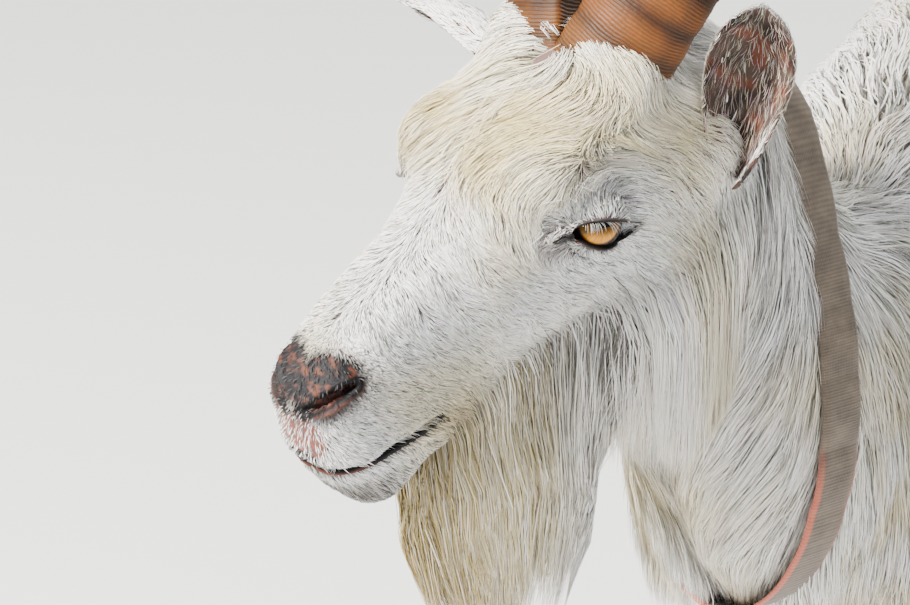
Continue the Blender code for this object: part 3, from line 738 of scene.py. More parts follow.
def ear_shell(name):
    """A closed shell: the hollow face and the back of the leaf, joined round the edge."""
    rows, columns = 44, 30
    v = np.linspace(0.0, 0.999, rows) ** 0.94
    w = np.sin(np.linspace(-1, 1, columns) * math.pi / 2)
    run, edge = np.meshgrid(v, w, indexing="ij")
    rim = np.sqrt(np.maximum(0, 1 - edge**2 * 0.985)) * np.sqrt(np.maximum(0.02, 1 - run**9))
    thick = 0.0011 * rim + 0.0002
    ridged = (1 - edge**2) * ease(run, 0.15, 0.4) * (1 - ease(run, 0.75, 0.95))
    ridges = 0.0007 * np.sin(edge * 9 + 0.6 * np.sin(run * 5)) * ridged
    front = ear_point(name, run, edge, thick + ridges)
    back = ear_point(name, run, edge, -thick)
    ring = np.concatenate([front, back[:, ::-1]], axis=1)
    points = ring.reshape(-1, 3)
    faces = grid_faces(rows, columns * 2, wrap=True)
    caps = []
    for row, flip in ((0, False), (rows - 1, True)):
        first = row * 2 * columns + np.arange(columns - 1)
        last = row * 2 * columns + 2 * columns - 1 - np.arange(columns - 1)
        cap = np.stack([first, last, last - 1, first + 1], -1)
        caps.append(cap[:, ::-1] if flip else cap)
    return from_head(points), np.concatenate([faces] + caps)


def outward_faces(points, faces):
    """Faces turned so that the closed shell's volume is positive."""
    corners = points[faces]
    a, b, c, d = (corners[:, k] for k in range(4))
    volume = (a * np.cross(b, c)).sum() + (a * np.cross(c, d)).sum()
    return faces if volume > 0 else faces[:, ::-1]


def body_skin(settings):
    """Flesh closed, refined on the face, sunk by the coat's depth, sculpted and smoothed round the lids."""
    skin = flesh_shell(settings.voxel)
    for wanted in (face_area((0.050, -0.13)), face_area((0.034, 0.088)), fine_area):
        refine(skin, wanted)
    relax = skin.modifiers.new("relax", "SMOOTH")
    relax.factor, relax.iterations = 0.5, 3
    skin = evaluated(skin)
    mesh = skin.data
    points = mesh_points(mesh)
    head, legs, tail = region(points)
    set_points(mesh, relaxed(mesh, points, (1 - head) * (1 - legs) * (1 - tail), 45))
    points = mesh_points(mesh)
    points = points - mesh_normals(mesh) * coat_depth(points)[:, None]
    set_points(mesh, points)
    crease = 1 - ease(np.linalg.norm(points - THROAT_CREASE, axis=1), 0.040, 0.090)
    points = relaxed(mesh, points, crease, 220)
    set_points(mesh, points)
    points = over_ball(sculpt_face(points, mesh_normals(mesh)))
    for rounds in (40, 8):
        off = from_socket(to_head(points))
        reach = np.linalg.norm(off, axis=1)
        outside = -inside_rim(eye_angles(off))
        ring = ease(outside, 2, 8) * ease(off[:, 0], -0.004, 0.004) * (1 - ease(reach, 0.028, 0.036))
        points = over_ball(relaxed(mesh, points, ring, rounds))
    triangles = mesh_triangles(mesh)
    bpy.data.objects.remove(skin)
    return points, triangles


# which part of the skin a point belongs to
BODY, LIDS, LEFT_EAR, RIGHT_EAR = 0, 1, 2, 3


def build_skin(settings):
    """The whole skin in one mesh: the body's, a ring of lids for each eye, and the two ears."""
    points, triangles = body_skin(settings)
    shells = [(points, triangles, BODY)]
    for side in (1, -1):
        shells.append((*lid_patch(side, points), LIDS))
    for name, part in zip(EARS, (LEFT_EAR, RIGHT_EAR)):
        ear, quads = ear_shell(name)
        shells.append((ear, outward_faces(ear, quads), part))
    clouds, faces, parts = zip(*shells)
    sizes = [len(cloud) for cloud in clouds]
    first = np.cumsum([0] + sizes)
    skin = build_mesh("skin", np.concatenate(clouds), [rows + start for rows, start in zip(faces, first)])
    paint_skin(skin.data, np.concatenate(clouds), np.repeat(parts, sizes))
    return skin


def paint_skin(mesh, points, part):
    """Stores the skin's colour, the part that each point belongs to, and how moist it is."""
    m = mirrored(to_head(points))
    colour = skin_colour(points)
    lids, ears = part == LIDS, part >= LEFT_EAR
    inside = inside_rim(eye_angles(from_socket(m[lids])))
    lid_grey = np.tile(SKIN_GREY * (0.8, 0.7, 0.68), (lids.sum(), 1))
    lid_colour = mix(lid_grey, SKIN_BLACK, ease(inside, -4.5, -1.5))
    corner = spot(m[lids], (EYE_SPREAD + 0.008, 0.0165, 0.0045), (0.005, 0.0045, 0.0040))
    colour[lids] = mix(lid_colour, SKIN_PINK * 0.8, 0.8 * np.clip(corner, 0, 1))
    warm = 0.75 * ease(shares(lumps(points[ears], 0.02, 31)), 0.45, 0.9)
    brown = mix(np.tile(EAR_BROWN, (ears.sum(), 1)), SKIN_ORANGE, warm)
    colour[ears] = mix(brown, SKIN_BLACK, 0.75 * ease(lumps(points[ears], 0.03, 33), 0.1, 0.7))
    wet = np.where(part == BODY, bare_nose(m) * region(points)[0], 0.0)
    wet[lids] = 0.35 * (1 - ease(inside, -3, 2))
    store(mesh, "tint", colour, "COLOUR")
    store(mesh, "part", part)
    store(mesh, "wet", wet)


# ---- materials


class Graph:
    """Short names for the shader nodes that the materials use."""

    def __init__(self, name):
        self.material = bpy.data.materials.new(name)
        self.material.use_nodes = True
        self.tree = self.material.node_tree
        self.shader = self.tree.nodes["Principled BSDF"]

    def node(self, kind, **values):
        """A new node with its own settings."""
        made = self.tree.nodes.new("ShaderNode" + kind)
        for key, value in values.items():
            setattr(made, key, value)
        return made

    def feed(self, socket, value):
        """Links a socket to another node's output, or sets it to a number or a colour."""
        if isinstance(value, bpy.types.NodeSocket):
            self.tree.links.new(value, socket)
        elif socket.type == "RGBA" and len(value) == 3:
            socket.default_value = (*value, 1)
        else:
            socket.default_value = value

    def set(self, **values):
        """Feeds the shader's own sockets, whose names are written with _ for a space."""
        for key, value in values.items():
            self.feed(self.shader.inputs[key.replace("_", " ")], value)

    def place(self):
        """Object coordinates."""
        return self.node("TexCoord").outputs["Object"]

    def scaled(self, vector, scale):
        """A vector multiplied along its three axes."""
        mapping = self.node("Mapping")
        self.feed(mapping.inputs["Vector"], vector)
        mapping.inputs["Scale"].default_value = scale
        return mapping.outputs["Vector"]

    def attribute(self, name, output="Color"):
        """One of the mesh's stored values."""
        return self.node("Attribute", attribute_name=name).outputs[output]

    def textured(self, made, vector, **values):
        """A texture node's value at the vector, with its numbers set."""
        self.feed(made.inputs["Vector"], vector)
        for key, value in values.items():
            made.inputs[key.replace("_", " ")].default_value = value
        return made.outputs["Fac"]

    def noise(self, vector, scale, detail=3.0, roughness=0.5):
        """Noise from 0 to 1."""
        made = self.node("TexNoise")
        return self.textured(made, vector, Scale=scale, Detail=detail, Roughness=roughness)

    def bands(self, vector, scale, distortion):
        """Level bands from 0 to 1, bent by noise."""
        made = self.node("TexWave", wave_type="BANDS", bands_direction="Z", wave_profile="SIN")
        return self.textured(made, vector, Scale=scale, Distortion=distortion, Detail=2.0, Detail_Scale=1.5)

    def ramp(self, value, stops):
        """A colour ramp; a stop's colour may be one grey number."""
        made = self.node("ValToRGB")
        self.feed(made.inputs["Fac"], value)
        band = made.color_ramp
        while len(band.elements) < len(stops):
            band.elements.new(0.5)
        for element, (place, colour) in zip(band.elements, stops):
            element.position = place
            element.color = (*np.broadcast_to(colour, 3), 1)
        return made.outputs["Color"]

    def mix(self, share, a, b, blend="MIX"):
        """Two colours mixed or blended by a share."""
        made = self.node("Mix", data_type="RGBA", blend_type=blend)
        self.feed(made.inputs["Factor"], share)
        self.feed(made.inputs[6], a)
        self.feed(made.inputs[7], b)
        return made.outputs[2]

    def darker(self, share, colour, times):
        """A colour, and where the share is 1 the same multiplied."""
        return self.mix(share, colour, self.mix(1.0, colour, times, "MULTIPLY"))

    def math(self, operation, a, b=0.5):
        """One step of arithmetic."""
        made = self.node("Math", operation=operation)
        self.feed(made.inputs[0], a)
        self.feed(made.inputs[1], b)
        return made.outputs[0]

    def times(self, a, b):
        """a * b"""
        return self.math("MULTIPLY", a, b)

    def plus(self, a, b):
        """a + b"""
        return self.math("ADD", a, b)

    def waves(self, value, turn):
        """(1 + sin(value * turn)) / 2"""
        return self.times(self.plus(self.math("SINE", self.times(value, turn)), 1.0), 0.5)

    def bump(self, height, strength, distance):
        """A shading normal from a height."""
        made = self.node("Bump")
        self.feed(made.inputs["Height"], height)
        made.inputs["Strength"].default_value = strength
        made.inputs["Distance"].default_value = distance
        return made.outputs["Normal"]


def skin_material():
    """Skin: its own tint, darker in the pores, smoother where it is wet."""
    g = Graph("goat_skin")
    place = g.place()
    tint, wet = g.attribute("tint"), g.attribute("wet", "Fac")
    pores = g.noise(place, 900, 4, 0.6)
    tone = g.noise(place, 260, 3)
    g.set(Base_Color=g.darker(g.times(tone, 0.45), tint, (0.55, 0.5, 0.5)))
    g.set(Roughness=g.math("SUBTRACT", 0.8, g.times(wet, 0.25)), Specular_IOR_Level=0.18)
    g.set(Normal=g.bump(g.plus(pores, g.noise(place, 2600, 2)), 0.5, 0.0006))
    return g.material


def coat_material():
    """Hair: from the root's painted shade to the tuft's tint, split into fine hairs that run along the
    blade.

    The grain's place is across * 5 and along * 1.2, moved by the tuft's own tint * 900.
    """
    g = Graph("coat")
    along, across = g.attribute("along", "Fac"), g.attribute("across", "Fac")
    tint, base = g.attribute("tint"), g.attribute("base")
    colour = g.mix(g.ramp(along, [(0.0, 0.0), (0.50, 1.0)]), base, tint)
    blade = g.node("CombineXYZ")
    g.feed(blade.inputs["X"], g.times(across, 5.0))
    g.feed(blade.inputs["Y"], g.times(along, 1.2))
    own = g.node("VectorMath", operation="SCALE")
    g.feed(own.inputs["Vector"], tint)
    own.inputs["Scale"].default_value = 900.0
    shift = g.node("VectorMath", operation="ADD")
    g.feed(shift.inputs[0], blade.outputs["Vector"])
    g.feed(shift.inputs[1], own.outputs["Vector"])
    hairs = g.noise(shift.outputs["Vector"], 1.0, 2.0, 0.6)
    g.set(Base_Color=g.darker(g.ramp(hairs, [(0.34, 1.0), (0.56, 0.0)]), colour, (0.58, 0.56, 0.55)))
    g.set(Roughness=0.6, Specular_IOR_Level=0.22, Normal=g.bump(hairs, 0.35, 0.0004))


# ---- hair


class Ground:
    """Finds the nearest place on a surface and its normal for many points at once."""

    def __init__(self, target):
        store_normals(target.data)
        tree = bpy.data.node_groups.new("nearest", "GeometryNodeTree")
        tree.interface.new_socket("Geometry", in_out="INPUT", socket_type="NodeSocketGeometry")
        tree.interface.new_socket("Geometry", in_out="OUTPUT", socket_type="NodeSocketGeometry")
        new, link = tree.nodes.new, tree.links.new
        start, end = new("NodeGroupInput"), new("NodeGroupOutput")
        info = new("GeometryNodeObjectInfo")
        info.inputs["Object"].default_value = target
        flow = start.outputs[0]
        place = new("GeometryNodeInputPosition").outputs[0]
        for name, source in (("near", place), ("facing", self.named(tree, "facing"))):
            sample = new("GeometryNodeSampleNearestSurface")
            sample.data_type = "FLOAT_VECTOR"
            link(info.outputs["Geometry"], sample.inputs["Mesh"])
            link(source, sample.inputs["Value"])
            keep = new("GeometryNodeStoreNamedAttribute")
            keep.data_type, keep.domain = "FLOAT_VECTOR", "POINT"
            keep.inputs["Name"].default_value = name + "_found"
            link(flow, keep.inputs["Geometry"])
            link(sample.outputs["Value"], keep.inputs["Value"])
            flow = keep.outputs["Geometry"]
        link(flow, end.inputs[0])
        self.tree = tree

    @staticmethod
    def named(tree, name):
        """The output of a node that reads one attribute."""
        made = tree.nodes.new("GeometryNodeInputNamedAttribute")
        made.data_type = "FLOAT_VECTOR"
        made.inputs["Name"].default_value = name
        return made.outputs["Attribute"]

    def find(self, points):
        """The nearest place on the surface to each point, and the normal there."""
        mesh = bpy.data.meshes.new("probe")
        mesh.vertices.add(len(points))
        mesh.vertices.foreach_set("co", np.asarray(points, np.float32).ravel())
        obj = bpy.data.objects.new("probe", mesh)
        bpy.context.scene.collection.objects.link(obj)
        obj.modifiers.new("nearest", "NODES").node_group = self.tree
        graph = bpy.context.evaluated_depsgraph_get()
        data = obj.evaluated_get(graph).data
        found = []
        for name in ("near_found", "facing_found"):
            out = np.empty(len(points) * 3, np.float32)
            data.attributes[name].data.foreach_get("vector", out)
            found.append(out.reshape(-1, 3).astype(float))
        bpy.data.objects.remove(obj)
        bpy.data.meshes.remove(mesh)
        return found[0], unit(found[1])


def store_normals(mesh):
    """Keeps the normals as an attribute that the ground can sample."""
    if "facing" not in mesh.attributes:
        layer = mesh.attributes.new("facing", "FLOAT_VECTOR", "POINT")
        layer.data.foreach_set("vector", mesh_normals(mesh).astype(np.float32).ravel())


def scatter(rng, field, weight, count):
    """Roots spread over the skin's triangles in proportion to their area times their weight."""
    points, triangles, normals = field.points, field.triangles, field.normals
    a, b, c = (points[triangles[:, k]] for k in range(3))
    area = np.linalg.norm(np.cross(b - a, c - a), axis=1) / 2
    share = np.cumsum(area * weight)
    slot = (np.arange(count) + rng.uniform(0, 1, count)) / count * share[-1]
    pick = np.minimum(np.searchsorted(share, slot), len(share) - 1)
    u, v = np.sqrt(rng.uniform(0, 1, count)), rng.uniform(0, 1, count)
    blend = np.stack([1 - u, u * (1 - v), u * v], -1)[..., None]
    corners = triangles[pick]
    return (points[corners] * blend).sum(1), unit((normals[corners] * blend).sum(1))


def along_surface(way, normal):
    """The part of a way that lies in the surface, at length one."""
    return unit(way - (way * normal).sum(-1, keepdims=True) * normal)


def gathered(paths, rng, size, pull):
    """Draws the tips of hairs that grow in one cell towards the first of them, which makes locks."""
    roots = paths[:, 0]
    wobble = rng.uniform(0, 1, 3) + 0.35 * wander(roots, size * 3, (41, 42, 43))
    cells = np.floor(roots / size + wobble).astype(np.int64)
    key = cells @ np.array([73856093, 19349663, 83492791])
    _, first, member = np.unique(key, return_index=True, return_inverse=True)
    lead = paths[first[member.ravel()]]
    t = np.linspace(0, 1, paths.shape[1])[None, :, None]
    return paths + (lead - paths) * (pull * t**1.6)


def lay_hairs(ground, roots, normals, groom, length, lift, steps, rng, spread=0.25, fall=None):
    """Paths of hairs along the skin, each at the height it has risen to: lift * (1 - (1 - t)^2).

    Where fall is given, the later steps turn down by that much and the hair may leave the skin, but never
    lies nearer to it than its height.
    """
    paths = [roots - normals * 0.0006]
    sway = spread * rng.normal(size=(len(roots), 1))
    at, normal = roots, normals
    for k in range(1, steps + 1):
        t = k / steps
        way = along_surface(groom(at, normal), normal)
        way = unit(way + np.cross(normal, way) * sway * (1 - 0.5 * t))
        if fall is not None:
            way = unit(mix(way, np.array([0.0, 0.0, -1.0]), np.clip(fall * t * 1.4, 0, 1)))
        ahead = at + way * (length / steps)[:, None]
        near, facing = ground.find(ahead)
        height = lift * (1 - (1 - t) ** 2)
        gap = ((ahead - near) * facing).sum(axis=1)
        if fall is None:
            at = near
            paths.append(near + facing * height[:, None])
        else:
            at = ahead + facing * np.maximum(height - gap, 0)[:, None]
            paths.append(at)
        normal = unit(normal * 0.3 + facing * 0.7)
    return np.stack(paths, axis=1)


# the side of a tuft's patch on the OFBake map
BAKE_PATCH = 0.003


def ribbons(name, paths, facings, width, tint, base, roll, uv, soft=0.55):
    """Hair as flat blades: full width over the root half, drawn to a point at the tip.

    Across a blade lies the way square to its path and to the skin's normal, turned about the path by
    the roll. Its shading normals lean towards the skin's by the soft share, so that a coat shades as one.
    """
    count, rows = paths.shape[:2]
    tangent = unit(np.gradient(paths, axis=1))
    side = unit(np.cross(facings[:, None, :], tangent))
    lift = np.cross(tangent, side)
    turn = roll[:, None, None]
    across = side * np.cos(turn) + lift * np.sin(turn)
    t = np.linspace(0, 1, rows)
    shape = np.sqrt(np.maximum(0, 1 - t**1.7)) * (0.75 + 0.25 * ease(t, 0, 0.3))
    half = 0.5 * width[:, None, None] * shape[None, :, None]
    reach = (across * half)[:, :-1]
    body = np.stack([paths[:, :-1] - reach, paths[:, :-1] + reach], axis=2).reshape(count, -1, 3)
    points = np.concatenate([body, paths[:, -1:]], axis=1)
    per = points.shape[1]
    first = np.arange(count)[:, None] * per
    k = np.arange(rows - 2) * 2
    quads = np.stack([first + k, first + k + 2, first + k + 3, first + k + 1], -1).reshape(-1, 4)
    tips = np.stack([first[:, 0] + per - 3, first[:, 0] + per - 1, first[:, 0] + per - 2], -1)
    obj = build_mesh(name, points.reshape(-1, 3), [quads, tips])
    mesh = obj.data
    own = np.cross(tangent, across)
    own = own * np.sign((own * facings[:, None, :]).sum(axis=2, keepdims=True) + 1e-9)
    shade = unit(mix(own, unit(facings[:, None, :] + 0.35 * tangent), soft))
    shade = np.concatenate([np.repeat(shade[:, :-1], 2, axis=1), shade[:, -1:]], axis=1)
    mesh.normals_split_custom_set_from_vertices(shade.reshape(-1, 3))
    rise = np.concatenate([np.repeat(t[:-1], 2), [1.0]])
    edge = np.concatenate([np.tile([0.0, 1.0], rows - 1), [0.5]])
    store(mesh, "along", np.tile(rise, count))
    store(mesh, "across", np.tile(edge, count))
    store(mesh, "tint", np.repeat(tint, per, axis=0), "COLOUR")
    # base: the blade's colour at its foot, darkened there as painted shade
    store(mesh, "base", np.repeat(base, per, axis=0), "COLOUR")
    patch = np.stack([edge, rise], -1) - 0.5
    place = (uv[:, None, :] + patch[None] * BAKE_PATCH).reshape(-1, 2)
    corners = np.empty(len(mesh.loops), np.int32)
    mesh.loops.foreach_get("vertex_index", corners)
    layer = mesh.uv_layers.new(name="OFBake")
    layer.data.foreach_set("uv", place[corners].astype(np.float32).ravel())
    wear(obj, bpy.data.materials["coat"])
    return obj


# ---- the lie of the coat


# where the neck's middle lies across, by how far back
NECK_BACK = [-0.358, -0.308, -0.238, -0.158]
NECK_MIDDLE = [-0.0153, 0.0047, 0.0207, 0.0247]


def wander(points, size, seeds):
    """Three smooth fields of lumps, one for each axis."""
    return np.stack([lumps(points, size, seed) for seed in seeds], -1)


def groom_body(points, normals):
    """Back along the trunk and down its flanks, forwards and down to the throat before the collar,
    down the chest behind it, down the legs and the tail."""
    _, legs, tail = region(points)
    y, z = points[:, 1], points[:, 2]
    side = np.tanh((points[:, 0] - np.interp(y, NECK_BACK, NECK_MIDDLE)) / 0.02)

    def sideways(out, back, up):
        """The same way at every point but for its sideways share, which leaves the middle."""
        return np.stack([out * side, np.full(len(y), back), np.full(len(y), up)], -1)

    back = sideways(0.0, 1.0, 0.0)
    back[:, 2] = -0.55 - 0.9 * ease(-z, -0.62, -0.42)
    crest = ease(normals[:, 2], 0.45, 0.85)
    throat = mix(sideways(-0.28, -0.62, -0.75), sideways(0.6, 0.15, -0.6), crest)
    chest = mix(sideways(0.15, 0.10, -1.0), sideways(0.45, 0.70, -0.35), crest)
    ahead = (points - COLLAR_AT) @ unit(COLLAR_WAY)
    throat = mix(unit(throat), np.array([-0.05, -0.12, -1.0]), 0.8 * np.exp(-((ahead / 0.035) ** 2)))
    before = ease(ahead, -0.012, 0.012)
    way = mix(back, mix(chest, throat, before), 1 - ease(y, -0.34, -0.16))
    way = mix(way, np.array([0.0, 0.12, -1.0]), legs)
    way = mix(way, np.array([0.0, 0.55, -1.0]), tail)
    return unit(way) + 0.20 * wander(points, 0.07, (51, 52, 53))


def groom_head(points):
    """Face hair: down and back from the bridge, out round the eyes, down the forehead and cheeks."""
    h = to_head(points)
    side = np.where(h[:, :1] > 0, 1.0, -1.0)
    m = mirrored(h)
    way = np.tile([0.10, -0.46, -0.80], (len(points), 1))
    bridge = ease(m[:, 2], -0.005, 0.024) * ease(m[:, 1], -0.010, 0.030)
    way = mix(way, np.array([0.62, 0.30, -0.45]), bridge)
    middle = np.exp(-((m[:, 0] / 0.009) ** 2)) * ease(m[:, 1], -0.020, 0.010) * ease(m[:, 2], -0.030, 0.000)
    way = mix(way, np.array([0.12, 1.0, -0.20]), middle)
    nose_top = ease(m[:, 1], 0.125, 0.150) * ease(m[:, 2], -0.01, 0.012)
    way = mix(way, np.array([0.30, 0.75, -0.45]), nose_top)
    forehead = ease(m[:, 2], 0.020, 0.040) * ease(-m[:, 1], -0.045, -0.010)
    forward = np.tile([0.35, 0.95, -0.3], (len(points), 1))
    forward[:, 0] = np.where(h[:, 0] > 0.004, -0.45, 0.55)
    way = mix(way, forward, forehead)
    off = m - (EYE_SPREAD + 0.012, 0.002, 0.000)
    ring = unit(off * (0.2, 1, 1))
    ring[:, 2] += 0.15
    near_eye = np.exp(-((np.linalg.norm(off * (0.6, 1, 1.15), axis=1) / 0.026) ** 2))
    above = ease(off[:, 2], -0.010, 0.006)
    way = mix(way, ring, np.clip(near_eye * 1.4 * (0.25 + 0.75 * above), 0, 1))
    chin = ease(m[:, 1], 0.10, 0.14) * ease(-m[:, 2], 0.035, 0.060)
    way = mix(way, np.array([0.10, -0.30, -0.95]), chin)
    poll = ease(-m[:, 1], 0.030, 0.060) * ease(m[:, 2], 0.020, 0.040)
    way = mix(way, np.array([0.75, 0.15, -0.45]), poll)
    jaw = ease(-m[:, 1], 0.020, 0.060) * ease(-m[:, 2], 0.000, 0.030)
    way = mix(way, np.array([0.05, -0.10, -1.0]), jaw)
    way = way + 0.20 * wander(points, 0.030, (61, 62, 63))
    way[:, :1] *= side
    return ways_from_head(way)


def groom(points, normals):
    """The lie of the whole coat."""
    head = region(points)[0]
    return mix(unit(groom_body(points, normals)), unit(groom_head(points)), head)


def round_share(across, up):
    """The angle of a way as a share of a full turn, 0 to 1."""
    return np.arctan2(across, up) / math.tau + 0.5


def skin_chart(points):
    """Where a root lies on the coat's own unwrap: along the body and round it, limb by limb."""
    h = to_head(points)
    head, legs, _ = region(points)
    x, y, z = points.T
    trunk_middle, rear = 0.0247, y > 0.1
    body_u = 0.5 + (y + 0.45) / 1.1 * 0.45
    body_v = 0.03 + 0.60 * round_share(x - trunk_middle, z - 0.55)
    head_u = 0.03 + (0.17 - h[:, 1]) / 0.32 * 0.42
    head_v = 0.03 + 0.94 * round_share(h[:, 0], h[:, 2] + 0.035)
    which = (x > trunk_middle) + 2 * rear
    leg_u = 0.5 + 0.12 * which + round_share(y - np.where(rear, 0.44, -0.21), x - trunk_middle) * 0.11
    leg_v = 0.66 + 0.30 * z / 0.42
    place = np.stack([body_u, body_v], -1)
    place = np.where((legs > 0.5)[:, None], np.stack([leg_u, leg_v], -1), place)
    place = np.where((head > 0.5)[:, None], np.stack([head_u, head_v], -1), place)
    return np.clip(place, 0.003, 0.997)


class Field:
    """The finished skin as arrays, and the ground that its hair is laid on."""

    def __init__(self, skin):
        self.points = mesh_points(skin.data)
        self.normals = mesh_normals(skin.data)
        self.triangles = mesh_triangles(skin.data)
        part = np.empty(len(self.points), np.float32)
        skin.data.attributes["part"].data.foreach_get("value", part)
        self.part = part[self.triangles].max(axis=1)
        middle = self.points[self.triangles].mean(axis=1)
        self.head, self.legs, self.tail = region(middle)
        self.local = to_head(middle)
        self.middle = middle
        self.ground = Ground(skin)


def haired(field):
    """1 where hair grows: not on the bare nose, the lips, the nostrils, the lids or inside the sockets."""
    m = mirrored(field.local)
    pad, lip = nose_zones(m)
    bare = np.maximum(1.09 * pad, 1.06 * lip)
    bare = np.maximum(bare, 1.1 - 1.1 * ease(near_path(m, NOSTRIL)[0], 0.004, 0.007))
    bare = np.maximum(bare, 1.12 - 1.12 * ease(near_path(m, MOUTH)[0], 0.0032, 0.0056))
    off = from_socket(m)
    inside = inside_rim(eye_angles(off))
    eye = ease(inside, -4, -1) * (np.linalg.norm(off, axis=1) < SOCKET_REACH)
    open_skin = (1 - 0.9 * np.maximum(bare, eye) * field.head) * (eye < 0.5)
    on_lids = 1 - ease(inside, -2.5, -0.5)
    return np.where(field.part == BODY, open_skin, np.where(field.part == LIDS, on_lids, 0.0))


def at_roots(value, roots):
    """A number for every root: the same one, or what a function gives for their places."""
    return value(roots) if callable(value) else np.full(len(roots), float(value))


def tufts(
    field, settings, name, weight, count, seed, *, length, width, lift, steps=4, lay=groom, fall=None,
    cell=0.006, pull=0.35, spread=0.25, root=0.75, vary=0.06, shady=0.10, colour=coat_colour, soft=0.55,
):
    """One piece of coat: roots by weight, paths along the groom, drawn into locks, then blades.

    Length, width, lift, fall, root and shady are numbers or functions of the roots. Root is how bright
    a blade is at its foot against its tip, a painted shade for the coat's depth by the skin. The shady
    share of the blades is two to eight times darker: painted shade for the shadowed gaps between hairs.
    """
    rng = np.random.default_rng(seed)
    count = max(50, int(count * settings.density))
    roots, normals = scatter(rng, field, weight, count)
    long = at_roots(length, roots) * rng.uniform(0.75, 1.2, count)
    high = at_roots(lift, roots) * rng.uniform(0.6, 1.25, count)
    fall = None if fall is None else at_roots(fall, roots)
    paths = lay_hairs(field.ground, roots, normals, lay, long, high, steps, rng, spread, fall)
    paths = gathered(paths, rng, cell, pull)
    wide = at_roots(width, roots) * rng.uniform(0.7, 1.3, count)
    tint = colour(roots, settings)
    tint = tint * (1 + vary * rng.normal(size=(count, 1)))
    tint = tint * (1 + 0.3 * vary * rng.normal(size=(count, 3)))
    # painted shade: the shady share of blades darkened, standing for the shadowed gaps between hairs
    shaded = rng.uniform(size=count) < at_roots(shady, roots)
    tint = np.where(shaded[:, None], tint * rng.uniform(0.12, 0.40, (count, 1)), tint)
    tint = np.clip(tint, 0.01, 0.92)
    # painted shade: each blade's foot darkened by the root share
    dark = tint * at_roots(root, roots)[:, None]
    roll = rng.normal(0, 0.35, count)
    return ribbons(name, paths, normals, wide, tint, dark, roll, skin_chart(roots), soft)


def near_lids(m, forward, up, size):
    """1 at the eye and little past the size."""
    off = m - (EYE_SPREAD + 0.010, forward, up)
    return np.exp(-((np.linalg.norm(off, axis=1) / size) ** 2))


def face_root(points):
    """How bright the face hair is at its foot, a painted shade: darkest round the eye and on the muzzle,
    paler on the cheek.
    """
    m = mirrored(to_head(points))
    muzzle = ease(m[:, 1], 0.05, 0.12)
    chin = ease(m[:, 1], 0.085, 0.120) * ease(-m[:, 2], 0.044, 0.052)
    off = from_socket(m)
    close = ease(-np.linalg.norm(off, axis=1), -0.036, -0.028)
    rim = ease(inside_rim(eye_angles(off)), -26, -12) * close
    deep = np.maximum(0.12 * muzzle, 0.22 * chin)
    eye = np.clip(near_lids(m, 0.004, -0.004, 0.034) * 1.2, 0, 1)
    return 0.40 - np.maximum(deep, 0.18 * eye) + 0.03 * rim


def face_length(points):
    """Hair on the face: shortest by the eyes and nostrils, longer on the back of the cheek and the chin."""
    m = mirrored(to_head(points))
    muzzle = ease(m[:, 1], 0.06, 0.13)
    back = ease(-m[:, 1], 0.00, 0.06)
    chin = ease(m[:, 1], 0.115, 0.145) * ease(-m[:, 2], 0.045, 0.060)
    eye = near_lids(m, 0.002, 0, 0.024)
    length = 0.0115 - 0.0035 * muzzle - 0.0048 * eye + 0.010 * back + 0.0060 * chin
    by_pad = 1 - ease(nose_pad(m), 1.1, 1.9)
    return length * (1 - 0.60 * by_pad) * (1 - 0.45 * nose_zones(m)[1])


def face_shade(points):
    """Share of hairs darkened as painted shade, for the shadowed gaps between hairs: most on the muzzle,
    the chin and round the eye.
    """
    m = mirrored(to_head(points))
    chin = ease(m[:, 1], 0.085, 0.120) * ease(-m[:, 2], 0.046, 0.058)
    return 0.06 + 1.1 * np.clip(0.40 - face_root(points), 0, 1) + 0.16 * chin


# ---- eyes, lashes, horns, collar


def build_eye(side, settings):
    """A ball of rings round its gaze, with a corneal bulge: r = 15.6 mm + 0.6 mm * exp(-(angle / 32)^4)."""
    rows, front_rows, around = 84, 60, 168
    gaze = unit(GAZE)
    level = unit(np.cross(AXES.T @ np.array([0, 0, 1.0]), gaze))
    over = np.cross(gaze, level)
    front, rear = np.linspace(0.3, 46, front_rows), np.linspace(47, 179.6, rows - front_rows)
    turn = np.linspace(0, 2 * np.pi, around, endpoint=False)
    angle, turn = (v.ravel() for v in np.meshgrid(np.concatenate([front, rear]), turn, indexing="ij"))
    tilt = np.radians(angle)[:, None]
    sideways = level * np.cos(turn)[:, None] + over * np.sin(turn)[:, None]
    radius = BALL_RADIUS - 0.0004 + 0.0006 * np.exp(-((angle / 32) ** 4))
    local = (gaze * np.cos(tilt) + sideways * np.sin(tilt)) * radius[:, None] + BALL_SHIFT
    turned = (side, 1, 1)
    points = (local + (EYE_SPREAD, 0, 0)) * turned
    eye = build_mesh("eyeball_" + SIDES[side], from_head(points), capped_faces(rows, around))
    face_outwards(eye, ways_from_head((local - BALL_SHIFT) * turned))
    store(eye.data, "tint", eye_colour(angle, turn, local * turned, points, settings), "COLOUR")
    wear(eye, bpy.data.materials["goat_eye"])
    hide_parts("eye_" + SIDES[side])


